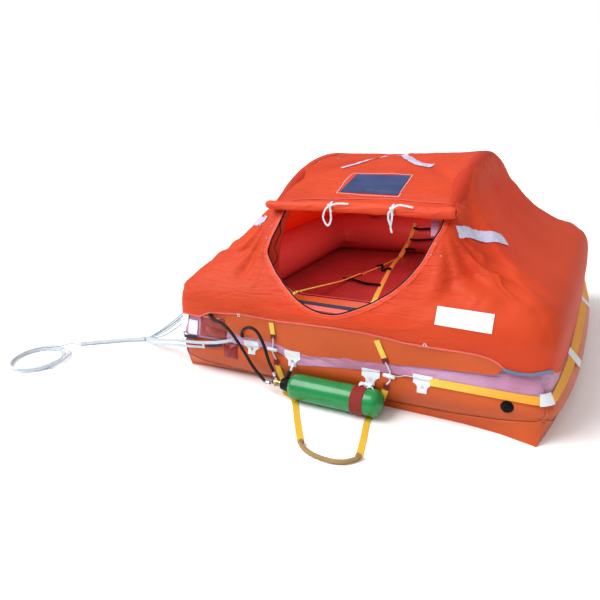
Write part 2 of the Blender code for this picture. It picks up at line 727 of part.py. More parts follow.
def build_painter():
    for name, route in BRIDLES:
        line = smooth_route(route, 4)
        add_part(name, ribbon_shape(line, [(0, -1, 0.1)] * len(line), BRIDLE_WIDTH), "web_white")
    route = smooth_route([(x, y, BUNDLE_Z) for x, y in BUNDLE], 4)
    round_part("painter_line", route, BUNDLE_RADIUS, "cord_white")
    section = []
    for i in range(12):
        turn = 2 * math.pi * i / 12
        section.append((COIL_REACH + COIL_HALF_WIDTH * math.sin(turn), COIL_HALF_HEIGHT * math.cos(turn)))
    turned_part("painter_coil", section, COIL_SIDES, "cord_white", COIL_CENTRE, closed=True)


clear_scene()
PARTS = make_collection("life_raft")
CUTTERS = make_collection("cutters")
build_floors()
build_tubes()
build_bows()
build_canopy()
build_door_roll()
build_gas_gear()
build_lifeline()
build_front_fittings()
build_ladder()
build_inner_ladder()
build_painter()
print("built", len(PARTS.objects), "pieces")
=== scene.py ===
import json
import math

import bmesh
import bpy
from mathutils import Matrix, Vector, noise
from mathutils.bvhtree import BVHTree
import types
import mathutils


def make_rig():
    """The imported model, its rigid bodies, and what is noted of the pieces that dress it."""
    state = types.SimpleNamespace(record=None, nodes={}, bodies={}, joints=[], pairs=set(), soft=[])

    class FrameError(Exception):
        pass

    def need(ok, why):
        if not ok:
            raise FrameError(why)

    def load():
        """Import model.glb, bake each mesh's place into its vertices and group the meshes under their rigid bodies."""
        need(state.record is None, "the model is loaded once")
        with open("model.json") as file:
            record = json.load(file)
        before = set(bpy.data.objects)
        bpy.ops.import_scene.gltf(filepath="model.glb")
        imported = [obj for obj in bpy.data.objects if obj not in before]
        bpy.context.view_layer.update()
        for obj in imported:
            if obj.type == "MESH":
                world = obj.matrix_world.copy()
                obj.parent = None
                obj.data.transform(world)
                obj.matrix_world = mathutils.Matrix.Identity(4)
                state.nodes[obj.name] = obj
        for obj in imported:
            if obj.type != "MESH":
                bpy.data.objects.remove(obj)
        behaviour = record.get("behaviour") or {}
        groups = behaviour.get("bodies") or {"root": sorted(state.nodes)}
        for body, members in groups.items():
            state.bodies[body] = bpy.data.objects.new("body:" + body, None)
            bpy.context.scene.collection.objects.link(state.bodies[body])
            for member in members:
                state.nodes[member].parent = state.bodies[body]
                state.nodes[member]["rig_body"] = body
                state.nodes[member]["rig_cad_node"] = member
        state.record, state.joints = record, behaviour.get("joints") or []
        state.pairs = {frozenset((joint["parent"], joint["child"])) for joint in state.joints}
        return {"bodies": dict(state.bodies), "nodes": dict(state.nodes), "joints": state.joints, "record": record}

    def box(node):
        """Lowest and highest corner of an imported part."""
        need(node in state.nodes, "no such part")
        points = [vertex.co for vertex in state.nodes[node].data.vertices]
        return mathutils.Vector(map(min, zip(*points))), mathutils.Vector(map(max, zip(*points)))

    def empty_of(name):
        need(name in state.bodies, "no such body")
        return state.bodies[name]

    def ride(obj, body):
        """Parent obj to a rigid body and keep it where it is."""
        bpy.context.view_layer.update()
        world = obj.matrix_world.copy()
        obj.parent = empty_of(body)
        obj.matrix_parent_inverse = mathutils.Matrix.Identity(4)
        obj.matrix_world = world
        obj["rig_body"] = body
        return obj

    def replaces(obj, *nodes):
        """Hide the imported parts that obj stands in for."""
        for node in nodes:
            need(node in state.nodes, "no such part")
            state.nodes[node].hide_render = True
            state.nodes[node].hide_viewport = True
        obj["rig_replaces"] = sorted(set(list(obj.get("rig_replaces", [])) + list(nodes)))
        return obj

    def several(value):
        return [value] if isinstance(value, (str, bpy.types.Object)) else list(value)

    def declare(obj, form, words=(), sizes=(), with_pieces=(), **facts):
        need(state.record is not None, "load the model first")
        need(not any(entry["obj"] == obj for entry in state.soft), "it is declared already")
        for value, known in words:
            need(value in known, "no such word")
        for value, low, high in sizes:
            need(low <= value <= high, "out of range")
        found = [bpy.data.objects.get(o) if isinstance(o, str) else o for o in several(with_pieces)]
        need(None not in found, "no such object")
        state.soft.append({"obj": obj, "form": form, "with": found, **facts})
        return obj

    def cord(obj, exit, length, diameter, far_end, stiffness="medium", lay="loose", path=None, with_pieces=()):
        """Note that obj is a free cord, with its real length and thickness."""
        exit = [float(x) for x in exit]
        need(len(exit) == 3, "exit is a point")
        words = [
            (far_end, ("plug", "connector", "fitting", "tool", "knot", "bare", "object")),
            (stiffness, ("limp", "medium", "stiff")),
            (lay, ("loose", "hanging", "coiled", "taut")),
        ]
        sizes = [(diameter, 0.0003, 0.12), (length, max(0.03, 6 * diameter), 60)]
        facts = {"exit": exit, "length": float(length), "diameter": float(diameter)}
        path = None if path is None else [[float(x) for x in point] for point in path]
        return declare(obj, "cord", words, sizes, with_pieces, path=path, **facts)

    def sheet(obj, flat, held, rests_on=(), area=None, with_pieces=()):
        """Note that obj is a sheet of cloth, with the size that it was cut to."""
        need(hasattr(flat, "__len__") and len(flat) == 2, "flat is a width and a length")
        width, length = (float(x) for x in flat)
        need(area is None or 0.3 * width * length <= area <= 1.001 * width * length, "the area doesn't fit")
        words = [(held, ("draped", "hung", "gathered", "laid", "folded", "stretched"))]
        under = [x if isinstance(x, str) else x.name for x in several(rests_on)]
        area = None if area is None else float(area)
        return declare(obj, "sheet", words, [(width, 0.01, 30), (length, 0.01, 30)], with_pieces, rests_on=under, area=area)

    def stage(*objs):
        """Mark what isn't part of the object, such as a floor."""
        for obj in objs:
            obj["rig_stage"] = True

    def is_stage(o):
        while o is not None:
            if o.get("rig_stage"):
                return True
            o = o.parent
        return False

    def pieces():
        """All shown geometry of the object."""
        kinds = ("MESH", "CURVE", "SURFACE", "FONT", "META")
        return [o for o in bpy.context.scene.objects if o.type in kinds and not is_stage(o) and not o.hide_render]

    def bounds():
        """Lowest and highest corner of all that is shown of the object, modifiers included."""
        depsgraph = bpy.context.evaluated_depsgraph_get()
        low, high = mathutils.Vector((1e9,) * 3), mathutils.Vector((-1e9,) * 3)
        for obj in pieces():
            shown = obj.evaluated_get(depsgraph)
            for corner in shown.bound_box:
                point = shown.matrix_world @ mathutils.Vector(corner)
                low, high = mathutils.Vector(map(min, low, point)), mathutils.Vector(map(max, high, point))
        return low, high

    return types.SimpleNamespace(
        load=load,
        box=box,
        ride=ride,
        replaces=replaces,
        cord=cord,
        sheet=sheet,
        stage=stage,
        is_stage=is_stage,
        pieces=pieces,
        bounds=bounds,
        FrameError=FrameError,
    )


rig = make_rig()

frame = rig.load()
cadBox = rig.bounds()
print("frame loaded")


# camera, stage and light

cameraSetup = {"place": (1.056, -3.054, 1.360), "yaw": 30.0, "pitch": 19.427, "roll": -3.566,
               "lens": 33.027, "sensor": 36.0}


def addCamera():
    data = bpy.data.cameras.new("raftCamera")
    data.lens = cameraSetup["lens"]
    data.sensor_width = cameraSetup["sensor"]
    camera = bpy.data.objects.new("raftCamera", data)
    bpy.context.scene.collection.objects.link(camera)
    turn = Matrix.Rotation(math.radians(cameraSetup["yaw"]), 4, "Z")
    tip = Matrix.Rotation(math.radians(90 - cameraSetup["pitch"]), 4, "X")
    lean = Matrix.Rotation(math.radians(cameraSetup["roll"]), 4, "Z")
    camera.matrix_world = Matrix.Translation(cameraSetup["place"]) @ turn @ tip @ lean
    bpy.context.scene.camera = camera


addCamera()


# shader building

class Wire:
    def __init__(self, finish, socket):
        self.finish = finish
        self.socket = socket

    def sum(self, operation, first, second=0.0):
        return self.finish.node("ShaderNodeMath", {"operation": operation}, (first, second))

    def __add__(self, other):
        return self.sum("ADD", self, other)

    def __sub__(self, other):
        return self.sum("SUBTRACT", self, other)

    def __rsub__(self, other):
        return self.sum("SUBTRACT", other, self)

    def __mul__(self, other):
        return self.sum("MULTIPLY", self, other)

    def __pow__(self, other):
        return self.sum("POWER", self, other)

    __radd__ = __add__
    __rmul__ = __mul__


class Finish:
    def __init__(self, name, **fixed):
        self.material = bpy.data.materials.new(name)
        self.material.use_nodes = True
        self.tree = self.material.node_tree
        self.shader = self.tree.nodes["Principled BSDF"]
        self.place = Wire(self, self.tree.nodes.new("ShaderNodeTexCoord").outputs["Object"])
        for socket, value in fixed.items():
            self.shader.inputs[socket.replace("_", " ")].default_value = value

    def node(self, kind, settings=None, inputs=(), output=0):
        made = self.tree.nodes.new(kind)
        for key, value in (settings or {}).items():
            if key == "stops":
                ramp = made.color_ramp.elements
                while len(ramp) < len(value):
                    ramp.new(0.5)
                for stop, (position, colour) in zip(ramp, value):
                    stop.position = position
                    stop.color = (*colour, 1.0) if len(colour) == 3 else colour
            else:
                setattr(made, key, value)
        pairs = inputs.items() if isinstance(inputs, dict) else enumerate(inputs)
        for key, value in pairs:
            self.feed(made.inputs[key], value)
        return Wire(self, made.outputs[output])

    def feed(self, socket, value):
        if isinstance(value, Wire):
            self.tree.links.new(value.socket, socket)
        else:
            socket.default_value = value

    def set(self, socket, value):
        self.feed(self.shader.inputs[socket], value)

    # cloudy noise from 0 to 1
    def clouds(self, scale, detail=3.0, rough=0.55, where=None, warp=0.0):
        inputs = {"Vector": where or self.place, "Scale": scale, "Detail": detail, "Roughness": rough,
                  "Distortion": warp}
        return self.node("ShaderNodeTexNoise", {}, inputs)

    def stretch(self, scale, where=None):
        return self.node("ShaderNodeMapping", {}, {"Vector": where or self.place, "Scale": scale})

    def sharpen(self, value, low, high):
        inputs = {"Value": value, "From Min": low, "From Max": high}
        return self.node("ShaderNodeMapRange", {"interpolation_type": "SMOOTHSTEP"}, inputs)

    def blend(self, share, first, second):
        inputs = {"Factor": share, "A": first, "B": second}
        made = self.tree.nodes.new("ShaderNodeMix")
        made.data_type = "RGBA"
        self.feed(made.inputs[0], share)
        self.feed(made.inputs[6], first)
        self.feed(made.inputs[7], second)
        return Wire(self, made.outputs[2])

    def bump(self, height, distance, strength=1.0, under=None):
        inputs = {"Height": height, "Distance": distance, "Strength": strength}
        if under is not None:
            inputs["Normal"] = under
        return self.node("ShaderNodeBump", {}, inputs)

    def weave(self, threads, where=None):
        turns = 2 * math.pi / threads
        sides = self.node("ShaderNodeSeparateXYZ", {}, (where or self.place,))
        lines = [Wire(self, sides.socket.node.outputs[k]) * turns for k in range(3)]
        waves = [self.node("ShaderNodeMath", {"operation": "SINE"}, (line,)) for line in lines]
        return waves[0] * waves[1] + waves[1] * waves[2] + waves[2] * waves[0]

    # threads across and along the piece's own map, which is in metres
    def mapWeave(self, threads):
        turns = 2 * math.pi / threads
        pattern = self.node("ShaderNodeUVMap", {"uv_map": "cloth"})
        sides = self.node("ShaderNodeSeparateXYZ", {}, (pattern,))
        u = Wire(self, sides.socket.node.outputs[0]) * turns
        v = Wire(self, sides.socket.node.outputs[1]) * turns
        waveU = self.node("ShaderNodeMath", {"operation": "SINE"}, (u,))
        waveV = self.node("ShaderNodeMath", {"operation": "SINE"}, (v,))
        return waveU * waveV


def rgb(red, green, blue):
    return (red, green, blue, 1.0)


def clothFinish(name, colour, shade, rough, threads, passed=0.0, creased=0.0, calmSides=False):
    made = Finish(name, Specular_IOR_Level=0.33)
    patches = made.clouds(3.0, 4.0)
    fine = made.clouds(38.0, 3.0)
    base = made.blend(made.sharpen(patches, 0.35, 0.70), rgb(*colour), rgb(*shade))
    made.set("Base Color", base)
    made.set("Roughness", fine * 0.15 + (rough - 0.07))
    soft = made.bump(made.clouds(22.0, 4.0, 0.6), 0.004, 0.35)
    if creased:
        lines = made.clouds(5.0, 3.0, 0.55, made.stretch((1.1, 5.5, 5.5)), 0.5) - 0.5
        ridges = made.node("ShaderNodeMath", {"operation": "ABSOLUTE"}, (lines,))
        ridges = made.sharpen(ridges, 0.16, 0.0)
        if calmSides:
            sides = made.node("ShaderNodeSeparateXYZ", {}, (made.place,))
            ridges = ridges * made.sharpen(sides, 0.72, 0.55)
        soft = made.bump(ridges, 0.0055, creased, soft)
    made.set("Normal", made.bump(made.weave(threads), threads * 0.12, 0.25, soft))
    if passed:
        glow = made.node("ShaderNodeBsdfTranslucent", {}, {"Color": rgb(*[min(1.0, c * 1.2) for c in colour])})
        mix = made.node("ShaderNodeMixShader", {}, (passed, Wire(made, made.shader.outputs[0]), glow))
        made.tree.links.new(mix.socket, made.tree.nodes["Material Output"].inputs["Surface"])
    return made.material


def coatedFinish(name, colour, shade, rough, gloss=0.32):
    made = Finish(name, Specular_IOR_Level=gloss)
    patches = made.clouds(4.0, 5.0)
    scuffs = made.clouds(55.0, 3.0, 0.6, made.stretch((1.0, 1.0, 3.0)))
    base = made.blend(made.sharpen(patches, 0.3, 0.7), rgb(*colour), rgb(*shade))
    made.set("Base Color", base)
    made.set("Roughness", scuffs * 0.2 + (rough - 0.1))
    made.set("Normal", made.bump(made.clouds(14.0, 4.0), 0.006, 0.25))
    return made.material


# hull coating, with painted red cabin light on the faces that look into the cabin and painted shade towards the bottom
def tubeFinish(name, colour, shade, inside, rough):
    made = Finish(name, Specular_IOR_Level=0.32)
    patches = made.clouds(4.0, 5.0)
    scuffs = made.clouds(55.0, 3.0, 0.6, made.stretch((1.0, 1.0, 3.0)))
    base = made.blend(made.sharpen(patches, 0.3, 0.7), rgb(*colour), rgb(*shade))
    sides = made.node("ShaderNodeSeparateXYZ", {}, (made.place,))
    across = made.node("ShaderNodeMath", {"operation": "ABSOLUTE"}, (Wire(made, sides.socket.node.outputs[0]),))
    along = Wire(made, sides.socket.node.outputs[1])
    back = made.node("ShaderNodeMath", {"operation": "MAXIMUM"}, (across - 0.13, along - 0.13))
    reach = made.node("ShaderNodeMath", {"operation": "MAXIMUM"}, (back, 0.0 - along))
    # painted shade: the coating darkens towards the bottom of the tube
    low = made.sharpen(Wire(made, sides.socket.node.outputs[2]), 0.20, 0.03) * 0.5
    base = made.blend(low, base, rgb(*[c * 0.6 for c in shade]))
    # painted light: the faces that look into the cabin take a redder colour for the red light inside
    made.set("Base Color", made.blend(made.sharpen(reach, 0.760, 0.742), base, rgb(*inside)))
    made.set("Roughness", scuffs * 0.2 + (rough - 0.1))
    made.set("Normal", made.bump(made.clouds(14.0, 4.0), 0.006, 0.25))
    return made.material


def webbingFinish(name, colour, shade, warmLightTint=None, axis=0, span=(0.42, 0.94)):
    made = Finish(name, Specular_IOR_Level=0.25)
    ribs = made.mapWeave(0.0028)
    worn = made.clouds(30.0, 3.0)
    base = made.blend(worn, rgb(*colour), rgb(*shade))
    if warmLightTint:  # painted light: a warmer colour further along one axis stands in for the warmer light there
        sides = made.node("ShaderNodeSeparateXYZ", {}, (made.place,))
        reach = made.sharpen(Wire(made, sides.socket.node.outputs[axis]), *span)
        base = made.blend(reach, base, rgb(*warmLightTint))
    made.set("Base Color", base)
    made.set("Roughness", worn * 0.2 + 0.5)
    made.set("Normal", made.bump(ribs, 0.0006, 0.6))
    return made.material


def plainFinish(name, colour, rough, metallic=0.0, scale=40.0, depth=0.0005, gloss=0.5):
    made = Finish(name, Metallic=metallic, Specular_IOR_Level=gloss)
    spots = made.clouds(scale, 4.0)
    dark = [c * 0.75 for c in colour]
    made.set("Base Color", made.blend(made.sharpen(spots, 0.3, 0.75), rgb(*colour), rgb(*dark)))
    made.set("Roughness", spots * 0.2 + (rough - 0.1))
    made.set("Normal", made.bump(spots, depth, 0.5))
    return made.material


finishes = {
    "canopy": clothFinish("canopyCloth", (0.79, 0.090, 0.019), (0.72, 0.071, 0.015), 0.50, 0.004, 0.42, 0.5, True),
    "roll": clothFinish("rollCloth", (0.72, 0.062, 0.013), (0.64, 0.048, 0.010), 0.55, 0.004, 0.0, 0.5),
    # tube: the third colour is painted red cabin light on the tube's inner faces
    "tube": tubeFinish("tubeFabric", (0.56, 0.086, 0.012), (0.48, 0.070, 0.009), (0.60, 0.050, 0.044), 0.42),
    "sheet": coatedFinish("bottomFabric", (0.54, 0.080, 0.011), (0.45, 0.064, 0.008), 0.42),
    "seam": coatedFinish("seamTape", (0.60, 0.105, 0.022), (0.52, 0.085, 0.016), 0.36),
    "floor": coatedFinish("floorFabric", (0.37, 0.024, 0.024), (0.30, 0.018, 0.019), 0.45),
    "band": clothFinish("lilacBand", (0.54, 0.29, 0.46), (0.41, 0.17, 0.28), 0.45, 0.003, 0.0, 0.4),
    "bow": clothFinish("archFabric", (0.70, 0.060, 0.016), (0.62, 0.05, 0.013), 0.5, 0.004, 0.45),
    "white": clothFinish("whitePatch", (0.78, 0.80, 0.83), (0.70, 0.72, 0.77), 0.5, 0.003),
    # yellow webbing: the amber towards the right-hand side is painted warm shade on the shaded side
    "yellow": webbingFinish("yellowWebbing", (0.82, 0.68, 0.11), (0.74, 0.50, 0.07), (0.82, 0.36, 0.03)),
    # cabin webbing: the orange further into the cabin is painted red cabin light
    "cabinWeb": webbingFinish("cabinWebbing", (0.86, 0.84, 0.14), (0.80, 0.72, 0.11), (0.80, 0.30, 0.06), 1, (-0.62, 0.10)),
    "gold": webbingFinish("goldWebbing", (0.80, 0.52, 0.04), (0.72, 0.40, 0.03)),
    "whiteWeb": webbingFinish("whiteWebbing", (0.78, 0.80, 0.83), (0.66, 0.70, 0.75)),
    "navy": webbingFinish("navyWebbing", (0.02, 0.025, 0.07), (0.015, 0.02, 0.05)),
    "green": plainFinish("greenPaint", (0.004, 0.24, 0.055), 0.22, 0.0, 12.0, 0.0004),
    "meshRed": webbingFinish("darkRedMesh", (0.28, 0.022, 0.016), (0.20, 0.014, 0.012)),
    "maroon": webbingFinish("maroonTab", (0.20, 0.015, 0.03), (0.14, 0.012, 0.025)),
    "hem": clothFinish("hemBand", (0.70, 0.135, 0.110), (0.64, 0.105, 0.085), 0.5, 0.003),
    "greyBlue": clothFinish("greyBlueEdge", (0.14, 0.20, 0.30), (0.11, 0.16, 0.25), 0.5, 0.003),
    "pocket": coatedFinish("pocketFilm", (0.32, 0.048, 0.038), (0.22, 0.026, 0.022), 0.3),
    "pouch": coatedFinish("pouchFilm", (0.30, 0.018, 0.020), (0.20, 0.012, 0.013), 0.3),
    "rubber": plainFinish("blackRubber", (0.006, 0.006, 0.007), 0.45, gloss=0.08),
    "braid": webbingFinish("blackBraid", (0.005, 0.005, 0.007), (0.011, 0.011, 0.014)),
    "steel": plainFinish("brightFitting", (0.62, 0.63, 0.65), 0.28, 1.0),
    "brass": plainFinish("dullBrass", (0.50, 0.40, 0.20), 0.38, 1.0),
    "tan": webbingFinish("tanSleeve", (0.40, 0.26, 0.10), (0.30, 0.18, 0.07)),
    "rope": webbingFinish("whiteRope", (0.84, 0.90, 0.94), (0.62, 0.71, 0.79)),
    # painted shade: the thin side lines are white rope given a darker bluish grey
    "thinRopePaintedShade": webbingFinish("paleRope", (0.52, 0.60, 0.67), (0.36, 0.44, 0.52)),
    # painted shade: the bridle straps are white webbing given a darker bluish grey
    "paleWebPaintedShade": webbingFinish("paleWebbing", (0.66, 0.71, 0.77), (0.46, 0.52, 0.60)),
    "tape": plainFinish("reflectiveTape", (0.58, 0.57, 0.76), 0.25, 0.0, 60.0, 0.001),
    "plate": clothFinish("blankPlate", (0.84, 0.84, 0.85), (0.78, 0.78, 0.80), 0.45, 0.004),
    "bluePatch": coatedFinish("bluePatch", (0.028, 0.044, 0.125), (0.046, 0.070, 0.18), 0.40, 0.14),
}
print("finishes made")


# modelling helpers

def clearSelection():
    bpy.ops.object.select_all(action="DESELECT")


def useObject(piece):
    clearSelection()
    piece.select_set(True)
    bpy.context.view_layer.objects.active = piece


def applyModifier(piece, kind, **settings):
    useObject(piece)
    made = piece.modifiers.new(kind.title(), kind)
    for key, value in settings.items():
        setattr(made, key, value)
    bpy.ops.object.modifier_apply(modifier=made.name)


def finishPiece(piece, finish, *nodes, smooth=40):
    piece.data.materials.clear()
    piece.data.materials.append(finishes[finish])
    if piece.type == "MESH":
        useObject(piece)
        bpy.ops.object.shade_smooth_by_angle(angle=math.radians(smooth))
    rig.ride(piece, "root")
    if nodes:
        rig.replaces(piece, *nodes)
    return piece


# a primitive grid whose points are placed by a rule, with a map in metres
def gridPiece(name, across, along, place, size=(1.0, 1.0), keep=None, joined=False):
    clearSelection()
    bpy.ops.mesh.primitive_grid_add(x_subdivisions=across, y_subdivisions=along, size=2)
    piece = bpy.context.object
    piece.name = name
    mesh = piece.data
    mesh.name = name
    layer = mesh.uv_layers[0]
    layer.name = "cloth"
    for spot in layer.data:
        spot.uv = (spot.uv[0] * size[0], spot.uv[1] * size[1])
    flat = [((v.co.x + 1) / 2, (v.co.y + 1) / 2) for v in mesh.vertices]
    if keep:
        bpy.ops.object.mode_set(mode="EDIT")
        bm = bmesh.from_edit_mesh(mesh)
        spare = []
        for face in bm.faces:
            middle = face.calc_center_median()
            if not keep((middle.x + 1) / 2, (middle.y + 1) / 2):
                spare.append(face)
        bmesh.ops.delete(bm, geom=spare, context="FACES")
        bmesh.update_edit_mesh(mesh)
        bpy.ops.object.mode_set(mode="OBJECT")
        flat = [((v.co.x + 1) / 2, (v.co.y + 1) / 2) for v in mesh.vertices]
    for vert, (u, v) in zip(mesh.vertices, flat):
        vert.co = place(u, v)
    if joined:
        bpy.ops.object.mode_set(mode="EDIT")
        bpy.ops.mesh.select_all(action="SELECT")
        bpy.ops.mesh.remove_doubles(threshold=0.00005)
        bpy.ops.object.mode_set(mode="OBJECT")
    mesh.update()
    return piece


# equal steps along a smooth line through a few points
def smoothPath(points, step):
    route = [Vector(p) for p in points]
    ends = [route[0] * 2 - route[1]] + route + [route[-1] * 2 - route[-2]]
    fine = []
    for i in range(1, len(ends) - 2):
        a, b, c, d = ends[i - 1:i + 3]
        for k in range(12):
            t = k / 12
            fine.append(0.5 * ((2 * b) + (c - a) * t + (2 * a - 5 * b + 4 * c - d) * t * t
                               + (3 * b - a - 3 * c + d) * t * t * t))
    fine.append(route[-1])
    lengths = [0.0]
    for near, far in zip(fine, fine[1:]):
        lengths.append(lengths[-1] + (far - near).length)
    count = max(2, round(lengths[-1] / step))
    out = []
    k = 0
    for i in range(count + 1):
        goal = lengths[-1] * i / count
        while k < len(lengths) - 2 and lengths[k + 1] < goal:
            k += 1
        share = (goal - lengths[k]) / max(1e-9, lengths[k + 1] - lengths[k])
        out.append(fine[k].lerp(fine[k + 1], min(1.0, share)))
    return out


def pathLength(points):
    return sum((b - a).length for a, b in zip(points, points[1:]))


def treeOf(*pieces):
    verts = []
    faces = []
    for piece in pieces:
        start = len(verts)
        verts += [v.co.copy() for v in piece.data.vertices]
        faces += [[start + i for i in face.vertices] for face in piece.data.polygons]
    return BVHTree.FromPolygons(verts, faces)


# flat strap along a path, its broad side square to the normals
def strapPiece(name, path, normals, width, thick, across=4, farWidth=None):
    count = len(path) - 1
    sides = []
    for i in range(count + 1):
        ahead = (path[min(i + 1, count)] - path[max(i - 1, 0)]).normalized()
        sides.append(ahead.cross(normals[i]).normalized())

    def place(u, v):
        i = round(v * count)
        return path[i] + sides[i] * ((u - 0.5) * (width + ((farWidth or width) - width) * v))

    piece = gridPiece(name, across, count, place, (width, pathLength(path)))
    applyModifier(piece, "SOLIDIFY", thickness=thick, offset=1.0)
    return piece


# points moved onto a surface, with the way out at each
def layOn(tree, points, lift):
    out = []
    normals = []
    for point in points:
        spot, normal, face, distance = tree.find_nearest(point)
        out.append(spot + normal * lift)
        normals.append(normal)
    return out, normals


def roundPiece(name, path, radius, sides=3):
    data = bpy.data.curves.new(name, "CURVE")
    data.dimensions = "3D"
    data.bevel_depth = radius
    data.bevel_resolution = sides
    data.use_fill_caps = True
    spline = data.splines.new("POLY")
    spline.points.add(len(path) - 1)
    for slot, point in zip(spline.points, path):
        slot.co = (*point, 1.0)
    piece = bpy.data.objects.new(name, data)
    bpy.context.scene.collection.objects.link(piece)
    return piece


# a flat patch pressed onto a surface from a direction
def patchPiece(name, tree, middle, right, up, size, cells, lift, thick, keep=None):
    right = Vector(right).normalized()
    up = Vector(up).normalized()
    out = right.cross(up).normalized()
    middle = Vector(middle)

    def place(u, v):
        start = middle + right * ((u - 0.5) * size[0]) + up * ((v - 0.5) * size[1]) + out * 0.15
        spot, normal, face, distance = tree.ray_cast(start, -out)
        if spot is None:
            spot, normal, face, distance = tree.find_nearest(start - out * 0.15)
        return spot + normal * lift

    piece = gridPiece(name, cells[0], cells[1], place, size, keep)
    applyModifier(piece, "SOLIDIFY", thickness=thick, offset=1.0)
    return piece


# a tube swept along a path; shape gives the radius share by turn and step
def sweptPiece(name, path, radius, around=12, shape=None, flat=(1.0, 1.0), up=None):
    count = len(path) - 1
    frames = []
    side = None
    for i in range(count + 1):
        ahead = (path[min(i + 1, count)] - path[max(i - 1, 0)]).normalized()
        if side is None:
            guide = Vector(up) if up else (Vector((0, 0, 1)) if abs(ahead.z) < 0.9 else Vector((1, 0, 0)))
            side = ahead.cross(guide).normalized()
        else:
            side = (side - ahead * side.dot(ahead)).normalized()
        frames.append((side, side.cross(ahead).normalized()))

    def place(u, v):
        i = round(v * count)
        turn = u * 2 * math.pi
        share = shape(turn, i) if shape else 1.0
        sideways, upward = frames[i]
        return (path[i] + sideways * (radius * share * flat[0] * math.cos(turn))
                + upward * (radius * share * flat[1] * math.sin(turn)))

    piece = gridPiece(name, around, count, place, (2 * math.pi * radius, pathLength(path)), joined=True)
    closeEnds(piece)
    return piece


def closeEnds(piece):
    bm = bmesh.new()
    bm.from_mesh(piece.data)
    bmesh.ops.holes_fill(bm, edges=bm.edges[:], sides=0)
    bmesh.ops.recalc_face_normals(bm, faces=bm.faces[:])
    bm.to_mesh(piece.data)
    bm.free()
    piece.data.update()


# a turned shape: rows of distance along the axis and radius
def turnedPiece(name, start, way, rows, sides=48):
    way = Vector(way).normalized()
    guide = Vector((0, 0, 1)) if abs(way.z) < 0.9 else Vector((1, 0, 0))
    side = way.cross(guide).normalized()
    up = side.cross(way).normalized()
    start = Vector(start)
    count = len(rows) - 1

    def place(u, v):
        along, radius = rows[round(v * count)]
        turn = u * 2 * math.pi
        return start + way * along + side * (radius * math.cos(turn)) + up * (radius * math.sin(turn))

    piece = gridPiece(name, sides, count, place, (0.3, 0.5), joined=True)
    closeEnds(piece)
    return piece


def roundRows(rows, steps=5):
    out = []
    smooth = smoothPath([(a, r, 0) for a, r in rows], 1.0)
    return out or smooth


def twist(strands, pitch, step, depth=0.12):
    return lambda turn, i: 1 + depth * math.cos(strands * (turn - 2 * math.pi * i * step / pitch))


def joinPieces(name, pieces):
    clearSelection()
    for piece in pieces:
        piece.select_set(True)
    bpy.context.view_layer.objects.active = pieces[0]
    bpy.ops.object.join()
    pieces[0].name = name
    pieces[0].data.name = name
    return pieces[0]


# hull tubes

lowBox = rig.box("lower_tube")
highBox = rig.box("upper_tube")
hull = {
    "radius": (lowBox[1].z - lowBox[0].z) / 2,
    "half": lowBox[1].x - (lowBox[1].z - lowBox[0].z) / 2,
    "lowZ": (lowBox[1].z + lowBox[0].z) / 2,
    "highZ": (lowBox[1].z + lowBox[0].z) / 2 + (lowBox[1].z - lowBox[0].z) + 0.0003,
    "dipHalf": 0.47, "dipEdge": 0.20, "dipShare": 0.82,
    "cornerPower": 28.0, "cornerPowerHigh": 17.0, "cornerDrop": 0.014,
    "puckerReach": 0.11, "puckerDepth": 0.0028,
}


def roundCorner(point):
    big = max(abs(point.x), abs(point.y))
    if big < 1e-6:
        return point
    high = min(1.0, max(0.0, (point.z - hull["lowZ"]) / (hull["highZ"] - hull["lowZ"])))
    power = hull["cornerPower"] + (hull["cornerPowerHigh"] - hull["cornerPower"]) * high
    ratio = ((abs(point.x) / big) ** power + (abs(point.y) / big) ** power) ** (1 / power)
    near = min(1.0, max(0.0, (min(abs(point.x), abs(point.y)) / big - 0.72) / 0.28))
    drop = hull["cornerDrop"] * near * near * (3 - 2 * near) * max(0.0, min(1.0, (point.z - hull["highZ"]) / hull["radius"]))
    if point.y > 0:
        drop *= 2
    return Vector((point.x / ratio, point.y / ratio, point.z - drop))


def doorwayDip(x, y, z):
    if y > 0 or z <= hull["highZ"] or abs(x) >= hull["dipHalf"]:
        return z
    share = min(1.0, (hull["dipHalf"] - abs(x)) / hull["dipEdge"])
    share = hull["dipShare"] * share * share * (3 - 2 * share)
    return hull["highZ"] + (z - hull["highZ"]) * (1 - share)


# share runs from 0 to 4 round the square, from the front's left end; turn is the angle round the tube
def tubePoint(share, turn, centreZ, extra=0.0):
    side = int(share) % 4
    t = (share - int(share)) * 2 - 1
    reach = hull["half"] + (hull["radius"]) * (1 - abs(t))
    fromEnd = (1 - abs(t)) * hull["half"]
    pucker = math.exp(-(fromEnd / hull["puckerReach"]) ** 2)
    ripple = hull["puckerDepth"] * pucker * (math.sin(turn * 9 + side) + 0.6 * math.sin(turn * 17 + 2 * side))
    pinch = -0.004 * math.exp(-(fromEnd / 0.02) ** 2)
    radius = hull["radius"] + ripple + pinch + extra
    out = radius * math.cos(turn)
    along = t * (hull["half"] + out)
    across = -(hull["half"] + out)
    x, y = along, across
    for _ in range(side):
        x, y = -y, x
    z = centreZ + radius * math.sin(turn)
    point = Vector((x, y, z))
    if centreZ > hull["lowZ"] + 0.1:
        point.z = doorwayDip(point.x, point.y, point.z)
    return roundCorner(point)


def sideShares(count):
    shares = []
    for i in range(count + 1):
        t = i / count * 2 - 1
        shares.append((1 + math.sin(t * math.pi / 2) * 0.35 + t * 0.65) / 2)
    return shares


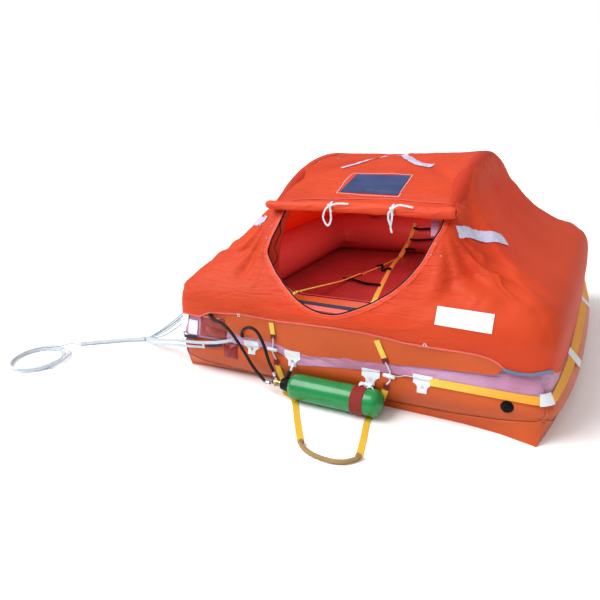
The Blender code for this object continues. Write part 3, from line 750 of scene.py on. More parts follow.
def buildTube(name, centreZ, node):
    perSide = 64
    around = 72
    shares = sideShares(perSide)

    def place(u, v):
        k = round(u * perSide * 4)
        side = min(3, k // perSide)
        share = side + min(0.999999, shares[k - side * perSide])
        return tubePoint(share, v * 2 * math.pi, centreZ)

    piece = gridPiece(name, perSide * 4, around, place, (7.6, 0.88), joined=True)
    return finishPiece(piece, "tube", node)


lowerHull = buildTube("lowerHull", hull["lowZ"], "lower_tube")
upperHull = buildTube("upperHull", hull["highZ"], "upper_tube")
hullTree = treeOf(lowerHull, upperHull)
print("tubes made")


# canopy sheet

canopy = {
    "cells": 106, "crease": 0.0054, "originZ": 0.42, "thick": 0.0012,
    "openingTop": 0.872,
    "roofSag": 0.012, "rightSag": 0.082, "leftSag": 0.050, "frontSag": 0.018, "clear": 0.0045,
    "bowX": 0.440, "bowRadius": 0.045, "bowReach": 0.745, "bowFoot": 0.5621, "bowRise": 0.4705,
}
hemFront = [(-0.95, 0.322), (-0.89, 0.334), (-0.77, 0.334), (-0.71, 0.364), (-0.53, 0.382), (-0.28, 0.376),
            (0.0, 0.384), (0.15, 0.382), (0.27, 0.372), (0.35, 0.363), (0.65, 0.361), (0.70, 0.352), (0.735, 0.336),
            (0.765, 0.309), (0.81, 0.302), (0.86, 0.305), (0.90, 0.314), (0.95, 0.322)]


def readRow(rows, value):
    if value <= rows[0][0]:
        return rows[0][1]
    for (a, low), (b, high) in zip(rows, rows[1:]):
        if value <= b:
            share = (value - a) / (b - a)
            return low + (high - low) * share
    return rows[-1][1]


def hemHeight(px, py):
    if py <= -0.999:
        return readRow(hemFront, px * 0.95)
    if px >= 0.999:
        return 0.322 - 0.070 * min(1.0, (py + 1) / 0.20)
    if py >= 0.999:
        return 0.365 + 0.006 * math.sin(px * 7)
    return 0.335 + 0.030 * min(1.0, (py + 1) / 0.4)


# how far out the upper tube's slack front stands from the tube's middle line
def slackOut(x, z):
    slack = 0.1405 - 0.0060 * (max(0.0, 0.40 - z) / 0.19) ** 1.4
    return hull["half"] + slack * min(1.0, max(0.0, (0.80 - abs(x)) / 0.04))


def canopyForm():
    bm = bmesh.new()
    for name in ("canopy_roof", "canopy_front", "canopy_rear", "canopy_left", "canopy_right"):
        bm.from_mesh(frame["nodes"][name].data)
    bmesh.ops.convex_hull(bm, input=bm.verts[:])
    return BVHTree.FromBMesh(bm)


bowSteps = []
for i in range(61):
    turn = math.pi * i / 60
    bowSteps.append((-canopy["bowReach"] * math.cos(turn), canopy["bowFoot"] + canopy["bowRise"] * math.sin(turn)))


def supportDistance(point):
    toBow = 9.0
    for y, z in bowSteps:
        toBow = min(toBow, (point.y - y) ** 2 + (point.z - z) ** 2)
    dx = abs(abs(point.x) - canopy["bowX"])
    toBow = math.sqrt(toBow + dx * dx) - canopy["bowRadius"]
    big = max(abs(point.x), abs(point.y))
    toTube = math.hypot(big - hull["half"], point.z - hull["highZ"]) - hull["radius"]
    return max(0.0, min(toBow, toTube))


# radiating folds: start, main direction in the surface, spread in degrees, folds, reach, depth
foldFans = [
    ((0.45, -0.66, 0.84), (0.50, -0.30, -0.75), 90, 8, 0.58, 0.0115),
    ((-0.43, -0.66, 0.84), (-0.50, -0.30, -0.75), 90, 8, 0.50, 0.0110),
    ((0.60, -0.93, 0.40), (0.35, 0.25, 0.80), 90, 8, 0.26, 0.0030),
    ((-0.52, -0.95, 0.39), (0.15, 0.25, 0.85), 110, 9, 0.22, 0.0030),
    ((0.86, -0.90, 0.55), (-0.50, 0.30, 0.60), 80, 7, 0.30, 0.0040),
    ((-0.86, -0.90, 0.55), (0.50, 0.30, 0.60), 80, 7, 0.30, 0.0040),
    ((0.86, 0.90, 0.55), (-0.50, -0.30, 0.60), 80, 7, 0.30, 0.0040),
    ((-0.86, 0.90, 0.55), (0.50, -0.30, 0.60), 80, 7, 0.30, 0.0040),
    ((0.45, 0.74, 0.62), (0.30, 0.10, 0.90), 90, 7, 0.25, 0.0030),
    ((-0.45, 0.74, 0.62), (-0.30, 0.10, 0.90), 90, 7, 0.25, 0.0030),
]


def foldDepth(point, normal):
    total = 0.0
    for start, way, spread, folds, reach, depth in foldFans:
        away = point - Vector(start)
        distance = away.length
        if distance > reach or distance < 1e-4:
            continue
        side = normal.cross(Vector(way)).normalized()
        angle = math.atan2(away.dot(side), away.dot(Vector(way).normalized()))
        limit = math.radians(spread) / 2
        if abs(angle) > limit:
            continue
        fade = math.cos(angle / limit * math.pi / 2) * math.sin(math.pi * min(1.0, distance / reach)) ** 0.8
        bend = 0.6 * noise.noise(point * 4.0)
        total += depth * fade * math.sin((angle / limit + bend) * folds * math.pi / 2)
    return total


# long sharp creases: left to right over the roof and ends, slanting over the sides
def creaseDepth(point):
    x, y, z = point
    spots = [Vector((x * 1.5, y * 8.0, z * 8.0)),
             Vector(((x * 0.75 - z * 0.66) * 1.8, (x * 0.66 + z * 0.75) * 8.5 + 20, y * 5.0)),
             Vector(((x * 0.96 + z * 0.28) * 1.6 - 9, (z * 0.96 - x * 0.28) * 9.5 + 40, y * 5.0))]
    right = min(1.0, max(0.0, (x - 0.38) / 0.14))
    left = min(1.0, max(0.0, (-x - 0.38) / 0.14))
    shares = (1.0 - right - left, right, left)
    total = 0.0
    for spot, share in zip(spots, shares):
        if share > 0.0:
            total += share * max(0.0, 1 - abs(noise.noise(spot)) * 5.5) ** 1.5
            total -= share * 0.6 * max(0.0, 1 - abs(noise.noise(spot * 1.7 + Vector((5, 2, 8)))) * 6.5) ** 1.5
    return canopy["crease"] * total * (1 - 0.75 * min(1.0, max(0.0, (x - 0.58) / 0.16)))


def clothRipple(point):
    slow = noise.noise(point * 2.3) * 0.0045
    middle = noise.noise(point * 6.5 + Vector((3, 1, 7))) * 0.0022
    fine = noise.noise(point * 17.0 + Vector((9, 4, 2))) * 0.0008
    return slow + middle + fine


def roofRipple(point):
    if abs(point.x) > 0.43 or point.z < 0.84:
        return 0.0
    fade = math.cos(point.x / 0.43 * math.pi / 2)
    waves = math.sin(point.y * 46 + 2.2 * noise.noise(Vector((point.x * 2, point.y * 3, 0))) * 3)
    return 0.0022 * fade * waves


def skirtRipple(point):
    if point.z > 0.50:
        return 0.0
    fade = (0.50 - point.z) / 0.16
    run = point.x if abs(point.y) > abs(point.x) else point.y
    return 0.0030 * fade * math.sin(run * 31 + 3 * noise.noise(point * 3)) * noise.noise(point * 2.2 + Vector((5, 5, 5)))


def buildCanopy():
    form = canopyForm()
    n = canopy["cells"]
    origin = Vector((0, 0, canopy["originZ"]))
    lanes = {}

    def meridian(px, py):
        line = []
        for step in range(0, 181):
            lean = math.radians(step * 0.5)
            way = Vector((px * math.sin(lean), py * math.sin(lean), math.cos(lean)))
            spot, normal, face, distance = form.ray_cast(origin, way.normalized())
            if spot is None or spot.z < hull["highZ"] + 0.004:
                break
            line.append(spot)
        skirt = hull["radius"] + 0.0046
        drop = hull["highZ"] - hemHeight(px, py)
        for step in range(0, 11):
            z = hull["highZ"] - drop * step / 10
            lean = math.asin(min(1.0, (hull["highZ"] - z) / skirt))
            wrapped = skirt * math.cos(lean)
            out = hull["half"] + wrapped * 0.06 + skirt * 0.94
            line.append(Vector((px * out, py * out, z)))
        return line

    def laneOf(i, j, k):
        key = (i / k, j / k)
        if key not in lanes:
            line = meridian(*key)
            lengths = [0.0]
            for near, far in zip(line, line[1:]):
                lengths.append(lengths[-1] + (far - near).length)
            lanes[key] = (line, lengths)
        return lanes[key]

    def place(u, v):
        i = round((u * 2 - 1) * n)
        j = round((v * 2 - 1) * n)
        k = max(abs(i), abs(j))
        if k == 0:
            spot, normal, face, distance = form.ray_cast(origin, Vector((0, 0, 1)))
            return spot
        line, lengths = laneOf(i, j, k)
        goal = lengths[-1] * k / n
        low = 0
        high = len(lengths) - 1
        while high - low > 1:
            middle = (low + high) // 2
            if lengths[middle] < goal:
                low = middle
            else:
                high = middle
        share = (goal - lengths[low]) / max(1e-9, lengths[high] - lengths[low])
        return roundCorner(line[low].lerp(line[high], share))

    piece = gridPiece("canopySheet", 2 * n, 2 * n, place, (3.1, 3.1))
    mesh = piece.data
    bm = bmesh.new()
    bm.from_mesh(mesh)
    inner = [v for v in bm.verts if not v.is_boundary]
    for _ in range(3):
        bmesh.ops.smooth_vert(bm, verts=inner, factor=0.5, use_axis_x=True, use_axis_y=True, use_axis_z=True)
    bm.normal_update()
    moved = []
    for vert in bm.verts:
        point = vert.co
        normal = vert.normal
        gap = supportDistance(point)
        onRoof = abs(point.x) < canopy["bowX"] and point.z > 0.8
        sag = canopy["roofSag"] if onRoof else canopy["frontSag"]
        if abs(point.x) > canopy["bowX"]:
            side = canopy["rightSag"] if point.x > 0 else canopy["leftSag"]
            sag += (side - sag) * min(1.0, (abs(point.x) - canopy["bowX"]) / 0.10)
        sag *= min(1.0, max(0.0, (point.z - 0.40) / 0.12))
        offset = -sag * (1 - math.exp(-gap / 0.09))
        free = min(1.0, 0.35 + gap / 0.05)
        offset += (foldDepth(point, normal) + clothRipple(point) + roofRipple(point) + creaseDepth(point)) * free
        offset += skirtRipple(point)
        moved.append(point + normal * offset)
    for vert, point in zip(bm.verts, moved):
        spot, normal, face, distance = hullTree.find_nearest(point)
        if (point - spot).dot(normal) < canopy["clear"]:
            point = spot + normal * canopy["clear"]
        if point.y < -0.9 and point.z < 0.43:
            point.y = min(point.y, -slackOut(point.x, point.z) - 0.0032)
        vert.co = point
    whole = BVHTree.FromBMesh(bm)
    openCanopy(bm, whole)
    bm.to_mesh(mesh)
    bm.free()
    mesh.update()
    applyModifier(piece, "SOLIDIFY", thickness=canopy["thick"], offset=-1.0)
    finishPiece(piece, "canopy", "canopy_roof", "canopy_front", "canopy_rear", "canopy_left", "canopy_right",
                smooth=60)
    return piece, whole


openingEdge = [(-0.383, 0.872), (-0.390, 0.819), (-0.405, 0.766), (-0.419, 0.712), (-0.417, 0.668), (-0.375, 0.624),
               (-0.293, 0.565), (-0.220, 0.518), (-0.178, 0.494), (-0.115, 0.467), (-0.042, 0.452), (0.032, 0.457),
               (0.107, 0.484), (0.174, 0.513), (0.223, 0.540), (0.281, 0.580), (0.330, 0.632), (0.368, 0.689),
               (0.389, 0.740), (0.408, 0.785), (0.424, 0.820), (0.428, 0.872)]
openingFine = [(p.x, p.y) for p in smoothPath([(x, z, 0) for x, z in openingEdge], 0.006)]


def insideOpening(x, z):
    inside = False
    last = openingFine[-1]
    for spot in openingFine:
        if (spot[1] > z) != (last[1] > z):
            if x < (last[0] - spot[0]) * (z - spot[1]) / (last[1] - spot[1]) + spot[0]:
                inside = not inside
        last = spot
    return inside


def openCanopy(bm, whole):
    spare = []
    for face in bm.faces:
        middle = face.calc_center_median()
        if middle.y < -0.5 and insideOpening(middle.x, middle.z):
            spare.append(face)
    bmesh.ops.delete(bm, geom=spare, context="FACES")
    for vert in bm.verts:
        if not vert.is_boundary or vert.co.y > -0.5 or vert.co.z < 0.44:
            continue
        if vert.co.z > canopy["openingTop"] - 0.012 and -0.375 < vert.co.x < 0.420:
            best = (vert.co.x, canopy["openingTop"])
        else:
            best = min(openingFine, key=lambda spot: (spot[0] - vert.co.x) ** 2 + (spot[1] - vert.co.z) ** 2)
        spot, normal, face, distance = whole.ray_cast(Vector((best[0], -2.0, best[1])), Vector((0, 1, 0)))
        if spot is not None:
            vert.co = spot


canopySheet, canopyTree = buildCanopy()
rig.sheet(canopySheet, flat=(3.0, 2.9), held="stretched", rests_on=["bow_left", "bow_right"], area=5.35)
print("canopy made")


# bottom sheet with its skirt up the lower tube

skirt = {"perSide": 48, "rest": 0.0006}
skirtRims = {
    # side, share of the side and how far out the sheet's edge lies
    "front": [(-1.0, 0.883), (-0.9, 0.868), (-0.7, 0.856), (-0.5, 0.853), (-0.2, 0.870), (0.2, 0.894), (0.65, 0.903),
              (0.82, 0.920), (1.0, 0.962)],
    "right": [(-1.0, 0.909), (-0.6, 0.905), (0.0, 0.900), (0.6, 0.897), (1.0, 0.925)],
    "rear": [(-1.0, 0.925), (-0.6, 0.897), (0.6, 0.897), (1.0, 0.925)],
    "left": [(-1.0, 0.925), (-0.6, 0.897), (0.6, 0.900), (1.0, 0.936)],
}
skirtTops = [(-1.0, 0.095), (-0.85, 0.055), (-0.6, 0.032), (0.3, 0.032), (0.6, 0.046), (0.8, 0.068), (1.0, 0.105)]


def buildSkirt():
    rows = [(0.0, 1.0), (0.25, 0.74), (0.55, 0.42), (0.85, 0.12), (1.0, 0.0)]
    inner = [0.96, 0.75, 0.45, 0.15, 0.02]
    count = len(rows) + len(inner) - 1
    rims = list(skirtRims.values())

    def rimPoint(side, t):
        if abs(t) < 0.99999:
            near = readRow(rims[side], t)
        else:
            near = rims[side][0 if t < 0 else -1][1]
        first = rims[(side + 3) % 4][-1][1]
        last = rims[(side + 1) % 4][0][1]
        along = t * (last if t > 0 else first)
        return along, near

    def place(u, v):
        k = round(u * skirt["perSide"] * 4)
        side = min(3, k // skirt["perSide"])
        t = (k - side * skirt["perSide"]) / skirt["perSide"] * 2 - 1
        row = round(v * count)
        along, rim = rimPoint(side, t)
        top = readRow(skirtTops, t)
        lean = math.asin((top - hull["lowZ"]) / hull["radius"])
        topOut = hull["half"] + (hull["radius"] + 0.0014) * math.cos(lean)
        high = roundCorner(Vector((t * topOut, -topOut, top)))
        low = Vector((along, -rim, skirt["rest"]))
        if row < len(rows):
            share, height = rows[row]
            point = high.lerp(low, share)
            point.z = skirt["rest"] + (top - skirt["rest"]) * height
        else:
            point = low * inner[row - len(rows)]
            point.z = skirt["rest"]
        x, y = point.x, point.y
        for _ in range(side):
            x, y = -y, x
        return Vector((x, y, point.z))

    piece = gridPiece("bottomSkirt", skirt["perSide"] * 4, count, place, (7.4, 1.1), joined=True)
    bm = bmesh.new()
    bm.from_mesh(piece.data)
    low = [e for e in bm.edges if e.is_boundary and e.verts[0].co.z < 0.01]
    bmesh.ops.holes_fill(bm, edges=low, sides=0)
    bmesh.ops.recalc_face_normals(bm, faces=bm.faces[:])
    bm.to_mesh(piece.data)
    bm.free()
    return finishPiece(piece, "sheet", "bottom_sheet")


buildSkirt()


# lilac joining band in the crease between the tubes

band = {"perSide": 120, "rows": 12}
bandTops = [(-1.0, 0.345), (-0.84, 0.330), (-0.70, 0.285), (-0.53, 0.260), (-0.43, 0.262), (-0.32, 0.250),
            (-0.20, 0.209), (-0.07, 0.222), (0.04, 0.232), (0.23, 0.246), (0.34, 0.254), (0.55, 0.270),
            (0.69, 0.278), (0.775, 0.284), (0.805, 0.330), (1.0, 0.350)]
bandLows = [(-1.0, 0.212), (-0.53, 0.214), (-0.43, 0.222), (-0.32, 0.210), (-0.20, 0.162), (-0.07, 0.176),
            (0.04, 0.187), (0.23, 0.203), (0.34, 0.206), (1.0, 0.206)]


def bandHeights(side, t):
    if side == 0:
        return readRow(bandLows, t), readRow(bandTops, t)
    if side == 1:
        return 0.206, 0.360
    return 0.206, 0.345 if side == 2 else 0.330


# the soft joint between the tubes stands out past the crease
def jointOut(z):
    low = hull["radius"] * math.cos(math.asin(min(0.999, max(-0.999, (z - hull["lowZ"]) / hull["radius"]))))
    high = hull["radius"] * math.cos(math.asin(min(0.999, max(-0.999, (z - hull["highZ"]) / hull["radius"]))))
    if z < hull["lowZ"] + hull["radius"]:
        return low, high
    return 0.0, high


def buildBand():
    def place(u, v):
        k = round(u * band["perSide"] * 4)
        side = min(3, k // band["perSide"])
        t = (k - side * band["perSide"]) / band["perSide"] * 2 - 1
        low, high = bandHeights(side, t)
        run = side * 2 + t
        z = low - 0.002 + (high + 0.012 - low) * v
        lowOut, highOut = jointOut(z)
        middle = 0.1345 - 0.030 * max(0.0, z - 0.24) / 0.10 if side == 0 else 0.122
        out = hull["half"] + max(lowOut + 0.0018, highOut + 0.0014, min(middle, 0.135))
        free = math.sin(math.pi * v)
        where = Vector((run * 5.0, v * 2.0, 3.0))
        out += free * (0.004 * noise.noise(where) + 0.0022 * math.sin(run * 60 + v * 4 + 4 * noise.noise(where * 0.7)))
        point = roundCorner(Vector((t * out, -out, z)))
        x, y = point.x, point.y
        for _ in range(side):
            x, y = -y, x
        point = Vector((x, y, point.z))
        spot, normal, face, distance = hullTree.find_nearest(point)
        if (point - spot).dot(normal) < 0.0016:
            point = spot + normal * 0.0016
        return point

    piece = gridPiece("joiningBand", band["perSide"] * 4, band["rows"], place, (7.6, 0.13), joined=True)
    applyModifier(piece, "SOLIDIFY", thickness=0.0012, offset=0.0)
    return finishPiece(piece, "band", "tube_joining_band", smooth=70)


# the upper tube's slack front fabric, which hangs over the joint
def buildJointCover():
    def place(u, v):
        t = (u * 2 - 1) * 0.995
        low, high = bandHeights(0, t)
        z = high + (0.430 - high) * v
        lowOut, highOut = jointOut(z)
        run = t * 0.95
        out = max(hull["half"] + highOut + 0.0012, slackOut(run, z) if z < 0.40 else 0.0)
        out += 0.0015 * (1 - v) * noise.noise(Vector((run * 6, v * 2, 8)))
        return roundCorner(Vector((t * out, -out, z)))

    piece = gridPiece("jointCover", 160, 14, place, (1.88, 0.2))
    applyModifier(piece, "SOLIDIFY", thickness=0.0010, offset=0.0)
    return finishPiece(piece, "tube", smooth=70)


joiningBand = buildBand()
jointCover = buildJointCover()
frontTree = treeOf(lowerHull, upperHull, joiningBand, jointCover)
print("skirt and band made")


# cabin floor and arches

def buildFloor():
    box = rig.box("inner_floor")
    half = box[1].x
    top = box[1].z

    def place(u, v):
        x = (u * 2 - 1) * (half + 0.005)
        y = (v * 2 - 1) * (half + 0.005)
        edge = max(abs(x), abs(y)) / half
        lift = 0.012 * max(0.0, edge - 0.93) / 0.07
        ripple = 0.0025 * noise.noise(Vector((x * 5, y * 5, 1))) + 0.0012 * noise.noise(Vector((x * 14, y * 9, 4)))
        return Vector((x, y, top - 0.003 + ripple + lift * 0.6))

    piece = gridPiece("cabinFloor", 80, 80, place, (1.55, 1.55))
    applyModifier(piece, "SOLIDIFY", thickness=0.002, offset=-1.0)
    return finishPiece(piece, "floor", "inner_floor", smooth=60)


cabinFloor = buildFloor()
floorTree = treeOf(cabinFloor)


def buildBow(name, sign, node):
    path = []
    for i in range(0, 121):
        turn = math.pi * i / 120
        path.append(Vector((sign * canopy["bowX"], -canopy["bowReach"] * math.cos(turn),
                            canopy["bowFoot"] + canopy["bowRise"] * math.sin(turn))))

    def shape(turn, i):
        seam = min(abs(i - k) for k in (20, 45, 75, 100))
        return 1 - 0.03 * math.exp(-(seam / 1.2) ** 2) + 0.006 * math.sin(turn * 7 + i * 0.9)

    piece = sweptPiece(name, path, canopy["bowRadius"], 32, shape)
    return finishPiece(piece, "bow", node)


buildBow("archLeft", -1, "bow_left")
buildBow("archRight", 1, "bow_right")


# rolled door with its ties

roll = {"left": -0.475, "right": 0.485, "y": -0.6768, "z": 0.8703, "outer": 0.0325, "inner": 0.012,
        "turns": 2.6, "ties": (-0.105, 0.205), "lift": (0.024, 0.014), "sizes": (0.80, 0.98)}


def rollMiddle(x):
    span = 0.0
    for a, b in ((roll["left"], roll["ties"][0]), (roll["ties"][0], roll["ties"][1]), (roll["ties"][1], roll["right"])):
        if a <= x <= b:
            span = math.sin(math.pi * (x - a) / (b - a)) ** 2
    share = min(1.0, max(0.0, (x - 0.05) / 0.35))
    lift = roll["lift"][0] + (roll["lift"][1] - roll["lift"][0]) * share
    return Vector((x, roll["y"] - 0.002 * span, roll["z"] + lift - 0.003 * span + 0.002 * noise.noise(Vector((x * 7, 0, 0)))))


def rollSize(x):
    share = (x - roll["left"]) / (roll["right"] - roll["left"])
    return roll["sizes"][0] + (roll["sizes"][1] - roll["sizes"][0]) * share


def buildRoll():
    steps = 110
    around = 90

    def place(u, v):
        x = roll["left"] + (roll["right"] - roll["left"]) * v
        middle = rollMiddle(x)
        turn = u * roll["turns"] * 2 * math.pi + 0.8
        grip = min(abs(x - tie) for tie in roll["ties"])
        size = roll["inner"] + (roll["outer"] - roll["inner"]) * u
        size *= rollSize(x) * (1 - 0.13 * math.exp(-(grip / 0.018) ** 2))
        end = min(x - roll["left"], roll["right"] - x)
        size *= 1 - 0.30 * math.exp(-(end / 0.008) ** 2)
        size += 0.0026 * noise.noise(Vector((x * 9, math.cos(turn) * 1.6, math.sin(turn) * 1.6)))
        return middle + Vector((0, -math.sin(turn) * size, math.cos(turn) * size * 0.92))

    piece = gridPiece("doorRoll", around, steps, place, (0.4, 0.98))
    applyModifier(piece, "SOLIDIFY", thickness=0.0016, offset=0.0)
    return finishPiece(piece, "roll", "door_roll", smooth=60)


# the door's cloth runs from the canopy to the back of its roll
def buildDoorLead():
    def place(u, v):
        x = roll["left"] + 0.006 + (roll["right"] - roll["left"] - 0.012) * v
        size = roll["outer"] * rollSize(x)
        near = rollMiddle(x) + Vector((0, size * 0.80, size * 0.42))
        spot, normal, face, distance = canopyTree.find_nearest(near)
        point = (spot + normal * 0.0010).lerp(near, u)
        point.z -= 0.003 * math.sin(math.pi * u) * (1 + 0.8 * noise.noise(Vector((x * 6, 2, 5))))
        return point

    piece = gridPiece("doorLead", 10, 96, place, (0.07, 0.95))
    applyModifier(piece, "SOLIDIFY", thickness=0.0012, offset=0.0)
    return finishPiece(piece, "roll", smooth=60)


buildRoll()
buildDoorLead()


def ribbon(name, points, normal, width, thick, finish, step=0.006, nodes=(), across=3):
    path = smoothPath(points, step)
    normals = [Vector(normal)] * len(path)
    piece = strapPiece(name, path, normals, width, thick, across)
    return finishPiece(piece, finish, *nodes)


def buildTie(name, x, tails, node):
    middle = rollMiddle(x)
    wrap = []
    for i in range(37):
        turn = 2 * math.pi * i / 36 * 0.999
        wrap.append(middle + Vector((0.001 * math.sin(turn), -math.sin(turn) * 0.0295 * rollSize(x), math.cos(turn) * 0.0275 * rollSize(x))))
    path = wrap
    normals = [(p - middle).normalized() for p in path]
    band = strapPiece(name + "Wrap", path, normals, 0.012, 0.0010, 3)
    knot = middle + Vector((0, -0.030 * rollSize(x) - 0.002, 0.010))
    pieces = [band]
    lump = sweptPiece(name + "Knot", [knot + Vector((-0.008, 0, 0.003)), knot + Vector((0, -0.005, 0.002)),
                                      knot + Vector((0.008, 0, -0.003))], 0.006, 10)
    pieces.append(lump)
    for k, points in enumerate(tails):
        route = smoothPath([knot + Vector(p) for p in points], 0.005)
        pieces.append(strapPiece(name + "Tail" + str(k), route, [Vector((0.15, -1, 0.25))] * len(route), 0.0088, 0.0009, 2))
    piece = joinPieces(name, pieces)
    return finishPiece(piece, "whiteWeb", node)


buildTie("tieLeft", roll["ties"][0],
         [[(0, -0.003, 0), (0.030, -0.005, 0.010), (0.062, -0.001, 0.012), (0.095, 0.004, 0.010)],
          [(0, -0.003, 0), (-0.022, -0.006, -0.018), (-0.036, -0.004, -0.060), (-0.014, -0.004, -0.096),
           (0.004, -0.004, -0.070), (0.006, -0.006, -0.030), (0.001, -0.004, -0.004)]], "door_tie_left")
buildTie("tieRight", roll["ties"][1],
         [[(0, -0.003, 0), (0.030, -0.004, 0.018), (0.060, 0.001, 0.016), (0.098, 0.004, 0.008)],
          [(0, -0.003, 0), (0.003, -0.007, -0.040), (-0.004, -0.006, -0.080), (0.002, -0.005, -0.108)],
          [(0, -0.003, 0), (-0.012, -0.008, -0.018), (-0.014, -0.006, -0.048), (-0.006, -0.005, -0.072)]],
         "door_tie_right")
print("floor, arches and door made")


# gas cylinder and its gear

gas = {"y": -1.006, "z": 0.072, "radius": 0.0635, "left": -0.215, "right": 0.268}


def domeRows(left, right, radius, leftDome, rightDome, steps=12):
    rows = []
    for i in range(steps + 1):
        turn = math.pi / 2 * i / steps
        rows.append((left + leftDome * (1 - math.sin(turn)), radius * math.cos(turn)))
    rows.reverse()
    rows = [(left + leftDome * (1 - math.sin(math.pi / 2 * (1 - i / steps))),
             radius * math.sin(math.acos(min(1.0, 1 - i / steps)))) for i in range(steps + 1)]
    rows = []
    for i in range(steps + 1):
        turn = math.pi / 2 * i / steps
        rows.append((left + leftDome * (1 - math.cos(turn)), radius * math.sin(turn) ** 0.8))
    for i in range(1, 9):
        rows.append((left + leftDome + (right - rightDome - left - leftDome) * i / 9, radius))
    for i in range(steps + 1):
        turn = math.pi / 2 * i / steps
        rows.append((right - rightDome * (1 - math.sin(turn)), radius * math.cos(turn) ** 0.8))
    return rows


def buildGas():
    body = turnedPiece("gasCylinder", (0, gas["y"], gas["z"]), (1, 0, 0),
                       domeRows(gas["left"], gas["right"], gas["radius"], 0.045, 0.040), 80)
    finishPiece(body, "green", "gas_cylinder")
    # strap of mesh round the cylinder
    left, right = 0.129, 0.190

    def wrap(u, v):
        turn = u * 2 * math.pi
        x = left + (right - left) * v
        size = gas["radius"] + 0.0012 + 0.0006 * math.sin(turn * 23 + v * 5)
        return Vector((x, gas["y"] + size * math.cos(turn), gas["z"] + size * math.sin(turn)))

    strap = gridPiece("cylinderStrap", 96, 8, wrap, (0.40, 0.061), joined=True)
    applyModifier(strap, "SOLIDIFY", thickness=0.0018, offset=1.0)
    finishPiece(strap, "meshRed", "cylinder_strap")
    # neck sleeve, valve head and its fittings
    neck = turnedPiece("neckCover", (0, gas["y"], gas["z"]), (1, 0, 0),
                       [(-0.258, 0.0), (-0.258, 0.024), (-0.254, 0.029), (-0.240, 0.031), (-0.225, 0.034),
                        (-0.212, 0.040), (-0.204, 0.044), (-0.200, 0.0)], 48)
    finishPiece(neck, "rubber", "cylinder_neck_cover")
    head = turnedPiece("valveBody", (0, gas["y"], gas["z"]), (1, 0, 0),
                       [(-0.305, 0.0), (-0.305, 0.012), (-0.302, 0.0145), (-0.292, 0.0145), (-0.290, 0.017),
                        (-0.276, 0.017), (-0.274, 0.013), (-0.268, 0.013), (-0.266, 0.018), (-0.259, 0.018),
                        (-0.257, 0.0)], 40)
    port = turnedPiece("valvePort", (-0.288, gas["y"], gas["z"] + 0.012), (0, 0, 1),
                       [(0.0, 0.0), (0.0, 0.009), (0.008, 0.009), (0.010, 0.007), (0.016, 0.007), (0.016, 0.0)], 24)
    side = turnedPiece("valveSide", (-0.283, gas["y"] - 0.012, gas["z"]), (0, -1, 0),
                       [(0.0, 0.0), (0.0, 0.010), (0.010, 0.010), (0.012, 0.006), (0.018, 0.006), (0.018, 0.0)], 24)
    finishPiece(joinPieces("valveHead", [head, port, side]), "brass", "cylinder_valve")


buildGas()


# inflation hoses, as the solids run, with their end fittings

hoses = {
    "hoseLower": {"node": "inflation_hose_lower", "points": [
        (-0.712, -0.9450, 0.3585), (-0.670, -0.978, 0.347), (-0.607, -0.987, 0.337), (-0.555, -0.987, 0.295),
        (-0.486, -0.987, 0.200), (-0.440, -0.987, 0.125), (-0.384, -0.990, 0.067), (-0.345, -1.002, 0.058),
        (-0.3083, -1.006, 0.070)]},
    "hoseUpper": {"node": "inflation_hose_upper", "points": [
        (-0.522, -0.9350, 0.256), (-0.503, -0.965, 0.285), (-0.468, -0.992, 0.325), (-0.424, -1.003, 0.346),
        (-0.384, -1.003, 0.330), (-0.352, -1.003, 0.270), (-0.328, -1.003, 0.180), (-0.305, -1.004, 0.130),
        (-0.288, -1.006, 0.0882)]},
}
hoseRadius = 0.0078


def sleeve(name, path, start, end, radius, finish):
    total = pathLength(path)
    part = []
    run = 0.0
    for near, far in zip(path, path[1:]):
        if start * total <= run <= end * total:
            part.append(near)
        run += (far - near).length
    if end >= 1.0:
        part.append(path[-1])
    count = len(part) - 1

    def shape(turn, i):
        return 0.82 if i in (0, count) else 1.0 + (0.08 if i in (1, count - 1) else 0.0)

    piece = sweptPiece(name, part, radius, 20, shape)
    return finishPiece(piece, finish)


for name, setup in hoses.items():
    path = smoothPath(setup["points"], 0.006)
    hose = sweptPiece(name, path, hoseRadius, 20)
    finishPiece(hose, "braid", setup["node"])
    fittings = [sleeve(name + "Ferrule", path, 0.90, 0.965, hoseRadius * 1.22, "steel"),
                sleeve(name + "Nut", path, 0.968, 0.99, hoseRadius * 1.35, "steel"),
                sleeve(name + "Boot", path, 0.0, 0.06, hoseRadius * 1.25, "rubber")]
    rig.cord(hose, exit=setup["points"][0], length=round(pathLength(path), 3), diameter=hoseRadius * 2,
            far_end="object", stiffness="medium", lay="hanging", path=[tuple(p) for p in path[::4]] + [tuple(path[-1])],
            with_pieces=fittings)
print("gas gear made")


# patches of the lifeline, each a broad head and a stem with an eyelet

patches = {
    # place and height of the cloth
    "lifeline_patch_1": (-0.464, 0.231, 0.070), "lifeline_patch_2": (-0.223, 0.207, 0.078),
    "lifeline_patch_3": (0.188, 0.191, 0.074), "lifeline_patch_4": (0.431, 0.200, 0.082),
}


def patchShape(u, v):
    x = abs(u - 0.5) * 2
    if v > 0.50:
        return True
    flare = 0.50 + 0.42 * max(0.0, (v - 0.30) / 0.20) ** 2
    return x < flare


